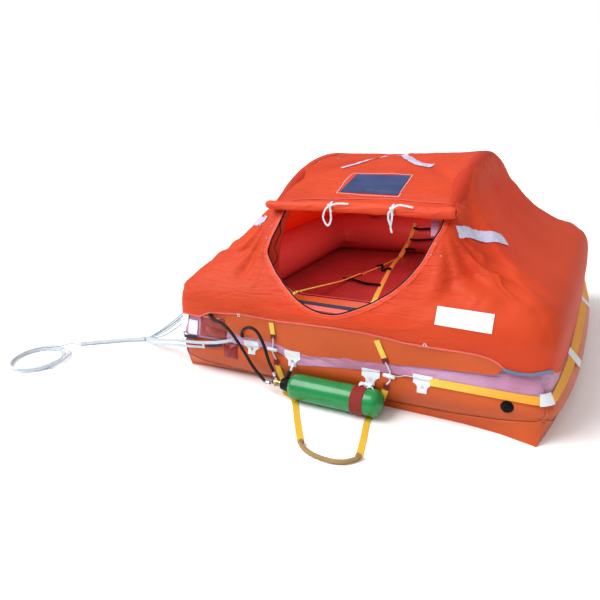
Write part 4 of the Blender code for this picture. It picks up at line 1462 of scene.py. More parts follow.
def buildPatch(name, x, z, height):
    low = z - 0.062
    lean = math.radians(22)
    piece = patchPiece(name + "Cloth", frontTree, (x, -0.94, low + height / 2), (1, 0, 0),
                       (0, math.sin(lean), math.cos(lean)), (0.088, height), (22, 24), 0.0012, 0.0022, patchShape)
    finishPiece(piece, "white", name)
    eye = Vector((x, -0.953, z - 0.030))
    spot, normal, face, distance = frontTree.find_nearest(eye)
    ring = turnedPiece(name + "Eyelet", spot + normal * 0.003, normal,
                       [(0.0, 0.0035), (0.0, 0.0075), (0.0016, 0.0070), (0.0016, 0.0040), (0.0, 0.0035)], 24)
    finishPiece(ring, "steel")


for name, (x, z, height) in patches.items():
    buildPatch(name, x, z, height)


# lifeline webbing round the hull, and its sleeves

line = {"z": 0.200, "width": 0.036, "lift": 0.0042, "turn": 0.060, "lean": 0.2, "frontOut": 0.1375}


def hullRing(t, side, z, lift, corner):
    lean = math.asin((z - hull["lowZ"]) / hull["radius"])
    upright = min(1.0, max(0.0, (1.0 - t) / 0.14)) if side == 0 else 0.0
    tubeOut = (hull["radius"] + lift) * math.cos(lean)
    out = hull["half"] + tubeOut + max(0.0, line["frontOut"] + lift - line["lift"] - tubeOut) * upright
    lean *= 1 + (line["lean"] - 1) * upright
    along = t * out
    limit = out - corner
    if abs(along) > limit:
        share = (abs(along) - limit) / corner
        turn = share * math.pi / 4
        x = math.copysign(limit + corner * math.sin(turn), along)
        y = -(limit + corner * math.cos(turn))
        normal = Vector((math.copysign(math.sin(turn), along), -math.cos(turn), 0)) * math.cos(lean)
    else:
        x, y = along, -out
        normal = Vector((0, -1, 0)) * math.cos(lean)
    normal.z = math.sin(lean)
    for _ in range(side):
        x, y = -y, x
        normal = Vector((-normal.y, normal.x, normal.z))
    return Vector((x, y, z)), normal


def webbingRun(name, runs, z, width, lift, finish, thick=0.0026, sag=0.0, nodes=()):
    path = []
    normals = []
    for side, start, end in runs:
        steps = max(4, round(abs(end - start) * 80))
        for i in range(steps + 1):
            t = start + (end - start) * i / steps
            point, normal = hullRing(t, side, z - sag * (1 - t * t), lift, line["turn"])
            if path and (point - path[-1]).length < 0.0005:
                continue
            path.append(point)
            normals.append(normal)
    piece = strapPiece(name, path, normals, width, thick, 6)
    return finishPiece(piece, finish, *nodes)


webbingRun("lifelineWebbing", [(0, 0.49, 1.0), (1, -1.0, 1.0), (2, -1.0, 1.0), (3, -1.0, 0.84)],
           line["z"], line["width"], line["lift"], "yellow", nodes=("lifeline",))
webbingRun("sleeveBack", [(1, 0.335, 0.395)], line["z"] - 0.004, 0.060, line["lift"] + 0.0035, "white", 0.0016)
for name, side, start, end in (("lifeline_sleeve_right", 1, -0.52, -0.44), ("lifeline_sleeve_rear", 2, -0.04, 0.04),
                               ("lifeline_sleeve_left", 3, -0.04, 0.04)):
    webbingRun(name + "Cloth", [(side, start, end)], line["z"] - 0.004, 0.075, line["lift"] + 0.0035, "white",
               0.0016, nodes=(name,))
cornerPatches = (("corner_patch_front_right", 0, 1), ("corner_patch_rear_right", 1, 2),
                 ("corner_patch_rear_left", 2, 3), ("corner_patch_front_left", 3, 0))
for name, first, second in cornerPatches:
    webbingRun(name + "Cloth", [(first, 0.960, 1.0), (second, -1.0, -0.962)], line["z"] + 0.004, 0.050,
               line["lift"] + 0.0036, "white", 0.0016, nodes=(name,))


# topping-up valve

def buildToppingValve():
    spot, normal, face, distance = frontTree.find_nearest(Vector((0.784, -1.0, 0.150)))
    base = turnedPiece("valveBase", spot - normal * 0.002, normal,
                       [(0.0, 0.0), (0.0, 0.0265), (0.0030, 0.0265), (0.0045, 0.0230), (0.0045, 0.0)], 48)
    cap = turnedPiece("valveCap", spot + normal * 0.002, normal,
                      [(0.0, 0.0), (0.0, 0.0205), (0.006, 0.0210), (0.011, 0.0200), (0.0135, 0.0165), (0.0140, 0.0110),
                       (0.0120, 0.0095), (0.0120, 0.0)], 48)
    ribs = []
    for k in range(10):
        turn = 2 * math.pi * k / 10
        side = normal.cross(Vector((0, 0, 1))).normalized()
        up = side.cross(normal)
        foot = spot + normal * 0.003 + (side * math.cos(turn) + up * math.sin(turn)) * 0.0205
        ribs.append(sweptPiece("valveRib" + str(k), [foot, foot + normal * 0.004, foot + normal * 0.008], 0.0022, 8))
    bar = sweptPiece("valveBar", [spot + normal * 0.014 - side * 0.011, spot + normal * 0.0155,
                                  spot + normal * 0.014 + side * 0.011], 0.0028, 10)
    finishPiece(joinPieces("toppingValve", [base, cap, bar] + ribs), "rubber", "topping_up_valve")


buildToppingValve()


# inlet pocket and pouch on the front left

def pocketPiece(name, x0, x1, z0, z1, puff, lift, finish, node, folds):
    def place(u, v):
        x = x0 + (x1 - x0) * u
        z = z0 + (z1 - z0) * v
        spot, normal, face, distance = frontTree.ray_cast(Vector((x, -2.0, z)), Vector((0, 1, 0)))
        edge = max(0.0, math.sin(math.pi * u)) ** 0.5 * max(0.0, math.sin(math.pi * min(1.0, v * 1.02))) ** 0.5
        crease = folds * math.sin((u * 1.3 - v) * 9) * edge
        outward = Vector((0, -1, 0.15)).normalized()
        return spot + normal * lift + outward * (puff * edge + crease)

    piece = gridPiece(name, 30, 24, place, (x1 - x0, z1 - z0))
    applyModifier(piece, "SOLIDIFY", thickness=0.0014, offset=1.0)
    return finishPiece(piece, finish, node, smooth=60)


pocketPiece("inletPocket", -0.792, -0.618, 0.226, 0.345, 0.016, 0.002, "pocket", "inlet_pocket", 0.003)
pocketPiece("toolPouch", -0.642, -0.558, 0.124, 0.205, 0.010, 0.002, "pouch", "tool_pouch", 0.002)
patchPiece0 = patchPiece("cornerPad", frontTree, (-0.845, -0.94, 0.262), (1, 0, 0), (0, 0.3, 1), (0.062, 0.078),
                         (12, 12), 0.003, 0.003)
finishPiece(patchPiece0, "white")
print("front fittings made")


# boarding ladder: straps down the front, cords with toggles, loops on the floor and the curved step

ladders = {
    "left": {"top": (-0.328, 0.366), "slant": 0.058, "foot": (-0.316, -0.314), "tabs": (0.300, 0.168), "floor": [(-0.262, -0.968), (-0.188, -1.018), (-0.080, -1.180),
                                                             (0.0173, -1.3238)],
             "toggle": (-0.333, 0.222), "nodes": ("ladder_strap_left", "ladder_loop_left", "ladder_toggle_left")},
    "right": {"top": (0.222, 0.360), "slant": 0.40, "foot": (0.268, 0.262), "tabs": (0.273, 0.150), "floor": [(0.228, -0.968), (0.210, -1.041), (0.250, -1.190),
                                                             (0.2826, -1.3153)],
              "toggle": (0.279, 0.194), "nodes": ("ladder_strap_right", "ladder_loop_right", "ladder_toggle_right")},
}


def frontSpot(x, z, lift):
    spot, normal, face, distance = frontTree.ray_cast(Vector((x, -2.0, z)), Vector((0, 1, 0)))
    return spot + normal * lift, normal


def frontStrap(name, x0, z0, x1, z1, width, lift=0.0022, steps=10):
    path = []
    normals = []
    for i in range(steps + 1):
        share = i / steps
        point, normal = frontSpot(x0 + (x1 - x0) * share, z0 + (z1 - z0) * share, lift)
        path.append(point)
        normals.append(normal)
    return strapPiece(name, path, normals, width, 0.0024, 4)


def buildLadder(name, setup):
    x0, z0 = setup["top"]
    footHigh, footLow = setup["foot"]
    strapNode, loopNode, toggleNode = setup["nodes"]

    def along(z):
        return x0 + setup["slant"] * (z0 - z)

    high, down = setup["tabs"]
    head = frontStrap(name + "Head", along(z0), z0, along(high), high, 0.026)
    finishPiece(head, "yellow", strapNode)
    tab = frontStrap(name + "Tab", along(high + 0.004), high + 0.004, along(high - 0.020), high - 0.020, 0.028, 0.0048, 6)
    finishPiece(tab, "maroon")
    foot = frontStrap(name + "Foot", footHigh, down, footLow, down - 0.028, 0.028, 0.0048, 6)
    finishPiece(foot, "maroon")
    upper, normal = frontSpot(along(high - 0.014), high - 0.014, 0.006)
    lower, normal = frontSpot(footHigh, down, 0.006)
    toggleX, toggleZ = setup["toggle"]
    middle = Vector((toggleX, -0.9545, toggleZ))
    cordPath = smoothPath([upper, middle + Vector((0.004, 0.001, 0.022)), middle, middle + Vector((0.003, 0.001, -0.024)),
                           lower], 0.004)
    finishPiece(sweptPiece(name + "Cord", cordPath, 0.0032, 10, twist(3, 0.012, 0.004)), "rope")
    bar = turnedPiece(name + "Toggle", middle - Vector((0.028, 0, -0.003)), (1, 0, -0.1),
                      [(0.0, 0.0), (0.0, 0.006), (0.003, 0.0085), (0.016, 0.0090), (0.024, 0.0105), (0.032, 0.0105),
                       (0.040, 0.0090), (0.053, 0.0085), (0.056, 0.006), (0.056, 0.0)], 24)
    finishPiece(bar, "white", toggleNode)
    start, normal = frontSpot(footLow, down - 0.024, 0.0026)
    fx, fy = setup["floor"][0]
    drop = [start, Vector((footLow + (fx - footLow) * 0.5, -0.956, 0.070)), Vector((fx, -0.957, 0.022)), Vector((fx, fy - 0.006, 0.0045))]
    rest = [Vector((x, y, 0.0026)) for x, y in setup["floor"][1:]]
    path = smoothPath(drop + rest, 0.006)
    normals = []
    for i, point in enumerate(path):
        ahead = path[min(i + 1, len(path) - 1)] - path[max(i - 1, 0)]
        ahead.normalize()
        steep = min(1.0, max(0.0, -ahead.z * 1.6))
        flat = Vector((-ahead.y, ahead.x, 0))
        flat = (flat if flat.x > 0 else -flat) * (1 - steep) + Vector((1, 0, 0)) * steep
        normals.append(flat.normalized().cross(ahead).normalized())
    loop = strapPiece(name + "Loop", path, normals, 0.029, 0.0024, 4)
    finishPiece(loop, "gold", loopNode)


for name, setup in ladders.items():
    buildLadder("ladder" + name.title(), setup)


def buildStep():
    route = [(0.0240, -1.3340, 0.013), (0.0351, -1.3500, 0.0105), (0.070, -1.373, 0.0105), (0.121, -1.391, 0.0105),
             (0.191, -1.396, 0.0105), (0.245, -1.380, 0.0105), (0.2797, -1.3460, 0.0105), (0.2860, -1.3270, 0.013)]
    path = smoothPath(route, 0.004)

    def shape(turn, i):
        return 1 + 0.05 * math.sin(i * 1.3 + turn) + 0.04 * math.cos(2 * turn)

    piece = sweptPiece("boardingStep", path, 0.0098, 16, shape)
    finishPiece(piece, "tan", "boarding_step")
    for name, place, way in (("stepKnotLeft", (0.0240, -1.3340, 0.0150), 0.9), ("stepKnotRight", (0.2860, -1.3270, 0.0150), -0.6)):
        middle = Vector(place)
        knot = []
        for i in range(41):
            turn = 4 * math.pi * i / 40
            size = 0.0085 + 0.0015 * math.cos(turn * 1.5)
            knot.append(middle + Vector((size * math.cos(turn + way), size * math.sin(turn + way) * 0.8,
                                         0.006 * math.sin(turn * 1.5))))
        node = "step_knot_left" if "Left" in name else "step_knot_right"
        finishPiece(sweptPiece(name, knot, 0.0052, 10), "tan", node)


buildStep()


# inner ladder on the cabin floor and up the rear tube

hullInside = treeOf(lowerHull, upperHull, cabinFloor)
innerStraps = {
    "innerStrapLeft": {"node": "inner_strap_left", "points": [
        (-0.288, -0.850, 0.456), (-0.296, -0.800, 0.458), (-0.309, -0.720, 0.448), (-0.322, -0.620, 0.428),
        (-0.342, -0.400, 0.378), (-0.350, -0.200, 0.336), (-0.348, -0.040, 0.308), (-0.310, 0.200, 0.295),
        (-0.274, 0.340, 0.292), (-0.215, 0.630, 0.292), (-0.185, 0.668, 0.350)], "width": 0.018, "farWidth": 0.011},
    "innerStrapRight": {"node": "inner_strap_right", "points": [
        (0.160, -0.835, 0.448), (0.140, -0.780, 0.447), (0.118, -0.720, 0.444), (0.104, -0.673, 0.400),
        (0.085, -0.672, 0.330), (0.060, -0.600, 0.292), (-0.040, -0.330, 0.291), (-0.108, -0.039, 0.291),
        (-0.182, 0.323, 0.291), (-0.222, 0.620, 0.292), (-0.198, 0.666, 0.340),
        (-0.161, 0.668, 0.410), (-0.124, 0.680, 0.530)], "width": 0.031, "farWidth": 0.026},
}


def buildInnerStrap(name, setup):
    path = smoothPath(setup["points"], 0.012)
    placed = []
    normals = []
    for point in path:
        spot, normal, face, distance = hullInside.find_nearest(point)
        if point.y < -0.69:
            outward = Vector((0, 0.2, 1)).normalized()
        elif point.y < -0.63 and point.z < 0.42 or point.y > 0.63:
            outward = Vector((0, -math.copysign(1, point.y), 0.2)).normalized()
        else:
            outward = Vector((0, 0, 1))
        if normal.dot(outward) < 0:
            normal = -normal
        away = (point - spot).length
        placed.append(spot + normal * 0.0016 if away < 0.012 else point)
        normals.append((normal * 0.4 + outward * 0.6).normalized() if away < 0.012 else outward)
    piece = strapPiece(name, placed, normals, setup["width"], 0.002, 4, setup["farWidth"])
    return finishPiece(piece, "cabinWeb", setup["node"])


for name, setup in innerStraps.items():
    buildInnerStrap(name, setup)

rungs = {
    "innerRungOne": {"node": "inner_rung_1", "points": [
        (-0.385, 0.020, 0.297), (-0.310, 0.000, 0.300), (-0.220, -0.030, 0.297), (-0.160, -0.042, 0.299),
        (-0.108, -0.045, 0.300)]},
    "innerRungTwo": {"node": "inner_rung_2", "points": [
        (-0.282, 0.345, 0.297), (-0.256, 0.372, 0.300), (-0.238, 0.330, 0.297), (-0.212, 0.262, 0.297),
        (-0.188, 0.305, 0.300), (-0.165, 0.295, 0.300)]},
    "innerRungThree": {"node": "inner_rung_3", "points": [
        (-0.150, 0.654, 0.420), (-0.105, 0.652, 0.417), (-0.040, 0.652, 0.424), (0.015, 0.656, 0.430)]},
    "innerRungFour": {"points": [(-0.130, 0.664, 0.500), (-0.080, 0.660, 0.496), (-0.010, 0.662, 0.503)]},
    "innerRungFive": {"points": [(-0.186, 0.654, 0.345), (-0.156, 0.652, 0.350), (-0.112, 0.654, 0.346)]},
}
for name, setup in rungs.items():
    path = smoothPath(setup["points"], 0.006)
    piece = sweptPiece(name, path, 0.0074, 12)
    finishPiece(piece, "rubber", *([setup["node"]] if "node" in setup else []))


# bands across the entrance tube

def acrossTube(name, x0, x1, turns, width, finish):
    path = []
    normals = []
    steps = 40
    for i in range(steps + 1):
        x = x0 + (x1 - x0) * i / steps
        turn = math.radians(turns[0] + (turns[1] - turns[0]) * i / steps)
        y = -(hull["half"] + hull["radius"] * math.cos(turn))
        spot, normal, face, distance = hullTree.ray_cast(Vector((x, y, 1.2)), Vector((0, 0, -1)))
        path.append(spot + normal * 0.0012)
        normals.append(normal)
    piece = strapPiece(name, path, normals, width, 0.0016, 3)
    return finishPiece(piece, finish)


acrossTube("entranceEdge", -0.42, 0.38, (126, 126), 0.009, "rubber")
acrossTube("entranceBand", -0.38, 0.34, (80, 70), 0.034, "navy")
acrossTube("entranceFlap", -0.26, 0.22, (60, 50), 0.044, "hem")
print("ladders made")


# bridle: two webbing arms, the small lines beside them, and the cross bar between the arms

bridles = {
    "bridleUpper": {"node": "bridle_strap_upper", "width": 0.017, "points": [
        (-0.560, -0.9294, 0.238), (-0.590, -0.9520, 0.230), (-0.660, -0.9640, 0.212), (-0.780, -0.9620, 0.190),
        (-0.900, -0.9600, 0.178), (-0.985, -0.9450, 0.165), (-1.180, -0.8550, 0.100), (-1.300, -0.8000, 0.060),
        (-1.4431, -0.7291, 0.0215)]},
    "bridleLower": {"node": "bridle_strap_lower", "width": 0.014, "points": [
        (-0.768, -0.9496, 0.160), (-0.900, -0.9580, 0.150), (-0.985, -0.9480, 0.138), (-1.180, -0.8650, 0.078),
        (-1.300, -0.8100, 0.036), (-1.4431, -0.7291, 0.0068)]},
}
for name, setup in bridles.items():
    path = smoothPath(setup["points"], 0.010)
    normals = []
    for i in range(len(path)):
        ahead = (path[min(i + 1, len(path) - 1)] - path[max(i - 1, 0)]).normalized()
        normals.append(ahead.cross(Vector((0, 0, 1))).normalized() * -1)
    for i, normal in enumerate(normals):
        if normal.y > 0:
            normals[i] = -normal
    piece = strapPiece(name, path, normals, setup["width"], 0.0022, 3)
    finishPiece(piece, "paleWebPaintedShade", setup["node"])
barPath = smoothPath([(-0.764, -0.9650, 0.193), (-0.768, -0.9630, 0.175), (-0.771, -0.9560, 0.158)], 0.005)
finishPiece(strapPiece("bridleBar", barPath, [Vector((0, -1, 0))] * len(barPath), 0.014, 0.002, 3), "paleWebPaintedShade")

junction = Vector((-1.4451, -0.7300, 0.0148))
sideLines = [
    # start, sideways bow
    ((-0.9330, -0.9180, 0.318), 0.010),
    ((-0.9440, -0.9000, 0.300), 0.016),
    ((-0.9440, -0.9220, 0.284), 0.022),
    ((-0.9360, -0.9300, 0.262), 0.030),
]
for k, (start, sag) in enumerate(sideLines):
    start = Vector(start)
    end = junction + Vector((0, 0, 0.004 * (k - 1.5)))
    points = []
    for i in range(9):
        share = i / 8
        point = start.lerp(end, share)
        point.z -= sag * math.sin(math.pi * share)
        point.z = max(point.z, 0.004)
        points.append(point)
    line0 = smoothPath(points, 0.012)
    finishPiece(sweptPiece("bridleLine" + str(k), line0, 0.0042, 8, twist(3, 0.02, 0.012)), "thinRopePaintedShade")


# bundle from the junction to the knot, and the painter's rope in its coil

bundleRoute = [(-1.4450, -0.7300), (-1.540, -0.775), (-1.616, -0.825), (-1.700, -0.880), (-1.780, -0.935)]
coil = {"centre": (-1.845, -1.2023), "radius": 0.0038}


def bundleStrand(name, turns, phase, offset, radius, finish):
    base = smoothPath([(x, y, 0.0105) for x, y in bundleRoute], 0.008)
    path = []
    for i, point in enumerate(base):
        ahead = (base[min(i + 1, len(base) - 1)] - base[max(i - 1, 0)]).normalized()
        side = ahead.cross(Vector((0, 0, 1))).normalized()
        turn = phase + turns * 2 * math.pi * i / (len(base) - 1)
        path.append(point + side * (offset * 1.5 * math.cos(turn)) + Vector((0, 0, offset * 0.72 * math.sin(turn))))
    return path


strands = []
for k in range(5):
    path = bundleStrand("", 1.6, k * 2 * math.pi / 6 + 1.2, 0.0086, 0.0035, "rope")
    strands.append(sweptPiece("bundleStrand" + str(k), path, 0.0043, 10, twist(3, 0.02, 0.008)))
finishPiece(joinPieces("bridleBundle", strands), "rope", "painter_line")


def painterPath():
    first = bundleStrand("", 1.6, 5 * 2 * math.pi / 6 + 1.2, 0.0086, 0.0038, "rope")
    cx, cy = coil["centre"]
    points = [p for p in first[::4]]
    points.append(Vector((-1.806, -0.962, 0.012)))
    points.append(Vector((-1.838, -0.990, 0.022)))
    layers = [
        # turns, radius, centre shift, height
        (1, 0.168, (-0.002, 0.004), 0.0205), (1, 0.147, (-0.022, -0.006), 0.0205),
        (1, 0.170, (-0.004, -0.006), 0.0125), (1, 0.143, (-0.026, -0.013), 0.0125),
        (1, 0.172, (0.003, 0.002), 0.0045), (1, 0.150, (-0.018, -0.014), 0.0045),
    ]
    turn = math.radians(97)
    for k, (turns, radius, shift, height) in enumerate(layers):
        following = layers[min(k + 1, len(layers) - 1)]
        for i in range(16):
            share = i / 16
            size = radius + (following[1] - radius) * share
            sx = shift[0] + (following[2][0] - shift[0]) * share
            sy = shift[1] + (following[2][1] - shift[1]) * share
            z = height + (following[3] - height) * max(0.0, share - 0.75) * 4
            wobble = 0.003 * math.sin(turn * 3 + k)
            points.append(Vector((cx + sx + (size + wobble) * math.cos(turn), cy + sy + (size + wobble) * math.sin(turn), z)))
            turn += 2 * math.pi / 16
    end = points[-1]
    points.append(Vector((cx + 0.150 * math.cos(turn), cy + 0.150 * math.sin(turn), 0.0045)))
    points.append(Vector((cx + 0.128 * math.cos(turn + 0.4), cy + 0.128 * math.sin(turn + 0.4), 0.0045)))
    return points


painterPoints = painterPath()
painterFine = smoothPath(painterPoints, 0.006)
painter = sweptPiece("painterRope", painterFine, coil["radius"], 10, twist(3, 0.022, 0.006))
finishPiece(painter, "rope", "painter_coil")


def ring(name, middle, way, size, radius, turns, finish):
    way = Vector(way).normalized()
    side = way.cross(Vector((0, 0, 1))).normalized()
    up = side.cross(way)
    path = []
    for i in range(turns * 14 + 1):
        turn = 2 * math.pi * i / 14
        path.append(Vector(middle) + way * ((i / (turns * 14) - 0.5) * radius * 2.0 * turns)
                    + side * (size * math.cos(turn)) + up * (size * 0.85 * math.sin(turn)))
    return sweptPiece(name, path, radius, 8)


finishPiece(ring("bundleKnot", (-1.782, -0.937, 0.0125), (-0.82, -0.57, 0), 0.0120, 0.0030, 4, "rope"), "rope")
finishPiece(ring("junctionWhipping", (-1.462, -0.738, 0.0130), (-0.9, -0.42, 0), 0.0120, 0.0026, 5, "rope"), "rope")
finishPiece(ring("coilTie", (-1.700, -1.262, 0.0125), (0.42, -0.9, 0), 0.0200, 0.0030, 2, "rope"), "rope")
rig.cord(painter, exit=tuple(painterFine[0]), length=round(pathLength(painterFine), 2), diameter=coil["radius"] * 2,
        far_end="bare", stiffness="limp", lay="coiled", path=[tuple(p) for p in painterFine[::3]] + [tuple(painterFine[-1])])
print("painter made")


# trims placed where the photograph shows them, on the canopy's own surface

cameraPlace = Vector(cameraSetup["place"])
cameraTurn = bpy.context.scene.camera.matrix_world.to_3x3()
viewScale = cameraSetup["lens"] / cameraSetup["sensor"] * 600


def fromView(tree, px, py, lift=0.0):
    way = (cameraTurn @ Vector(((px - 300) / viewScale, (300 - py) / viewScale, -1))).normalized()
    spot, normal, face, distance = tree.ray_cast(cameraPlace, way)
    if spot is None:
        spot, normal, face, distance = tree.find_nearest(cameraPlace + way * 2.9)
    return spot + normal * lift, normal


# mirror puts the same strap on the other side instead
def viewStrap(name, tree, pixels, width, thick, lift, finish, step=0.008, across=8, mirror=False):
    route = smoothPath([fromView(tree, *pixel)[0] for pixel in pixels], step)
    if mirror:
        route = [Vector((-point.x, point.y, point.z)) for point in reversed(route)]
    path, normals = layOn(tree, route, 0.0)
    count = len(path) - 1

    def place(u, v):
        i = round(v * count)
        ahead = (path[min(i + 1, count)] - path[max(i - 1, 0)]).normalized()
        side = ahead.cross(normals[i]).normalized()
        spot, normal, face, distance = tree.find_nearest(path[i] + side * ((u - 0.5) * width))
        return spot + normal * lift

    piece = gridPiece(name, across, count, place, (width, pathLength(path)))
    applyModifier(piece, "SOLIDIFY", thickness=thick, offset=1.0)
    return finishPiece(piece, finish)


def viewPatch(name, tree, corners, cells, lift, thick, finish, size):
    def place(u, v):
        low = Vector(corners[3]).lerp(Vector(corners[2]), u)
        high = Vector(corners[0]).lerp(Vector(corners[1]), u)
        pixel = low.lerp(high, v)
        return fromView(tree, pixel.x, pixel.y, lift)[0]

    piece = gridPiece(name, cells[0], cells[1], place, size)
    applyModifier(piece, "SOLIDIFY", thickness=thick, offset=1.0)
    return finishPiece(piece, finish)


def viewCord(name, tree, pixels, radius, lift, finish, step=0.006):
    route = smoothPath([fromView(tree, *pixel, lift)[0] for pixel in pixels], step)
    return finishPiece(sweptPiece(name, route, radius, 8), finish)


# rows of single stitches along a path on a surface
def stitches(name, tree, path, dash, gap, width, lift, finish):
    pieces = []
    fine = smoothPath(path, (dash + gap))
    for k, (near, far) in enumerate(zip(fine, fine[1:])):
        way = (far - near).normalized()
        ends = [near, near + way * dash * 0.5, near + way * dash]
        spots, normals = layOn(tree, ends, lift)
        pieces.append(strapPiece(name + str(k), spots, normals, width, 0.0006, 1))
    return finishPiece(joinPieces(name, pieces), finish)


viewPatch("blankPlate", canopyTree, [(437.7, 306.2), (494.3, 314.5), (491.8, 334.0), (434.5, 324.5)], (24, 10),
          0.0022, 0.0012, "plate", (0.23, 0.085))
viewPatch("bluePatch", canopyTree, [(357, 174.5), (410.5, 176), (397.5, 195.5), (339.5, 192)], (26, 18),
          0.0020, 0.0010, "bluePatch", (0.28, 0.15))
border = [(353.5, 173.6), (412.8, 175.2), (398.6, 197.0), (336.6, 193.2), (353.5, 173.6)]
for k in range(4):
    corners = [fromView(canopyTree, *border[k])[0], fromView(canopyTree, *border[k + 1])[0]]
    middle = corners[0].lerp(corners[1], 0.5)
    stitches("patchStitch" + str(k), canopyTree, [corners[0], middle, corners[1]], 0.007, 0.006, 0.0042, 0.0018, "whiteWeb")
viewStrap("roofTapeThin", canopyTree, [(341.5, 168.5), (364, 162), (387, 156.8)], 0.020, 0.0008, 0.0034, "tape")
viewStrap("roofTapeWide", canopyTree, [(402.5, 155.5), (417, 162.5), (432, 167)], 0.058, 0.0008, 0.0034, "tape")
sideTapePixels = [(457.5, 232.5), (472, 234), (489, 237), (503, 241)]
viewStrap("sideTape", canopyTree, sideTapePixels, 0.060, 0.0008, 0.0034, "tape")
viewStrap("leftTape", canopyTree, sideTapePixels, 0.060, 0.0008, 0.0034, "tape", mirror=True)

edge3d = []
for x, z in openingFine:
    spot, normal, face, distance = canopyTree.ray_cast(Vector((x, -2.0, z)), Vector((0, 1, 0)))
    edge3d.append((spot, normal))
binding = [spot + normal * 0.0012 for spot, normal in edge3d]
finishPiece(sweptPiece("openingBinding", binding, 0.0030, 8), "rubber")
wide = []
near = []
for (x, z), (spot, normal) in zip(openingFine, edge3d):
    away = Vector((x - 0.0, 0, z - 0.86))
    away = (away - normal * away.dot(normal)).normalized()
    wide.append(spot + away * 0.015)
    near.append(spot + away * 0.0065)
path, normals = layOn(canopyTree, wide, 0.0013)
finishPiece(strapPiece("openingHem", path, normals, 0.022, 0.0008, 3), "roll")
# painted highlight: a thin pink strip just outside the binding, along the opening's edge
path, normals = layOn(canopyTree, near, 0.0024)
finishPiece(strapPiece("openingPiping", path, normals, 0.0045, 0.0010, 2), "hem")

viewCord("doorElastic", canopyTree, [(286, 209), (281.5, 217), (279.5, 225), (280, 232), (276.5, 240), (274, 247),
                                     (276.5, 254), (276, 260), (272.5, 265)], 0.0026, -0.006, "rubber")
viewCord("doorSnapCord", canopyTree, [(284, 209), (289, 207.5), (293, 206.5)], 0.0026, -0.004, "rubber")
for k, pixel in enumerate([(435, 244), (431, 255), (441, 256), (266.5, 238), (272, 226)]):
    spot, normal = fromView(canopyTree, *pixel)
    finishPiece(turnedPiece("doorSnap" + str(k), spot, normal,
                            [(0, 0), (0, 0.0042), (0.0016, 0.0040), (0.0024, 0.0025), (0.0024, 0.0)], 20), "band")
viewPatch("doorWindow", canopyTree, [(430.5, 217), (444, 218.5), (443, 232), (430, 234.5)], (8, 8), -0.020, 0.001,
          "band", (0.07, 0.07))

viewCord("roofPiping", canopyTree, [(273, 200.5), (300, 199.5), (330, 199.5), (370, 199), (397, 199.5), (420, 202),
                                    (445, 203.5), (457, 204.5), (465, 208)], 0.0024, 0.001, "hem")
viewCord("roofSeamRight", canopyTree, [(479.5, 152), (472, 163), (467, 172), (461, 184), (458, 196), (457.5, 206),
                                       (458, 224)], 0.0022, 0.0008, "canopy")
viewCord("roofSeamLeft", canopyTree, [(338, 154.5), (325, 158), (313, 164), (299, 176), (285, 190), (277, 198)],
         0.0022, 0.0008, "canopy")
for k, pixel in enumerate([(319.5, 162), (338.5, 158.5)]):
    spot, normal = fromView(canopyTree, *pixel)
    finishPiece(turnedPiece("roofEyelet" + str(k), spot, normal,
                            [(0.001, 0.0035), (0.001, 0.0075), (0.0026, 0.0070), (0.0026, 0.0040), (0.001, 0.0035)], 20),
                "steel")
print("trims made")


# hem tape, its grommets and the blue edge at the right corner

def hemRun(offset, lift, start=0.0, end=4.0, steps=520):
    path = []
    for i in range(steps + 1):
        share = start + (end - start) * i / steps
        side = int(min(share, 3.9999))
        t = (share - side) * 2 - 1
        px, py = t, -1.0
        for _ in range(side):
            px, py = -py, px
        z = hemHeight(px, py) + offset
        out = hull["half"] + hull["radius"] + 0.007
        path.append(roundCorner(Vector((px * out, py * out, z))))
    spots, normals = layOn(canopyTree, path, lift)
    return spots, normals


spots, normals = hemRun(0.005, 0.0014)
finishPiece(strapPiece("hemTape", spots, normals, 0.008, 0.0008, 3), "hem")
spots, normals = hemRun(0.006, 0.0030, 0.898, 1.020, 48)
finishPiece(strapPiece("cornerEdge", spots, normals, 0.015, 0.0010, 3), "greyBlue")
for k, pixel in enumerate([(239, 315), (425, 345)]):
    spot, normal = fromView(canopyTree, *pixel)
    finishPiece(turnedPiece("hemGrommet" + str(k), spot, normal,
                            [(0.002, 0.0045), (0.002, 0.0095), (0.0040, 0.0090), (0.0040, 0.0050), (0.002, 0.0045)], 24),
                "steel")
viewStrap("hemTab", canopyTree, [(417.5, 345.2), (424, 346.2), (431, 347.2)], 0.009, 0.0010, 0.0026, "hem")


# seams of the lower tube: tape along the bottom sheet's top edge, and a joint at each corner

def skirtSeam():
    path = []
    for side in range(4):
        for i in range(97):
            t = i / 96 * 2 - 1
            top = readRow(skirtTops, t)
            lean = math.asin((top - hull["lowZ"]) / hull["radius"])
            out = hull["half"] + (hull["radius"] + 0.0016) * math.cos(lean)
            point = roundCorner(Vector((t * out, -out, top)))
            x, y = point.x, point.y
            for _ in range(side):
                x, y = -y, x
            if i < 96 or side == 3:
                path.append(Vector((x, y, top)))
    spots, normals = layOn(hullTree, path, 0.0022)
    finishPiece(strapPiece("skirtSeam", spots, normals, 0.014, 0.0008, 3), "seam")


def cornerSeams():
    for k, (sx, sy) in enumerate(((1, -1), (1, 1), (-1, 1), (-1, -1))):
        path = []
        for i in range(31):
            lean = math.radians(-48 + 66 * i / 30)
            out = hull["half"] + hull["radius"] * math.cos(lean)
            path.append(roundCorner(Vector((sx * out, sy * out, hull["lowZ"] + hull["radius"] * math.sin(lean)))))
        spots, normals = layOn(hullTree, path, 0.0008)
        normals = [(Vector((sx, sy, 0)).normalized() + normal * 0.2).normalized() for normal in normals]
        finishPiece(strapPiece("cornerSeam" + str(k), spots, normals, 0.008, 0.0010, 2), "seam")


skirtSeam()
cornerSeams()


# lanyard sleeve, the cylinder's hanging loops and the loose ends on the front

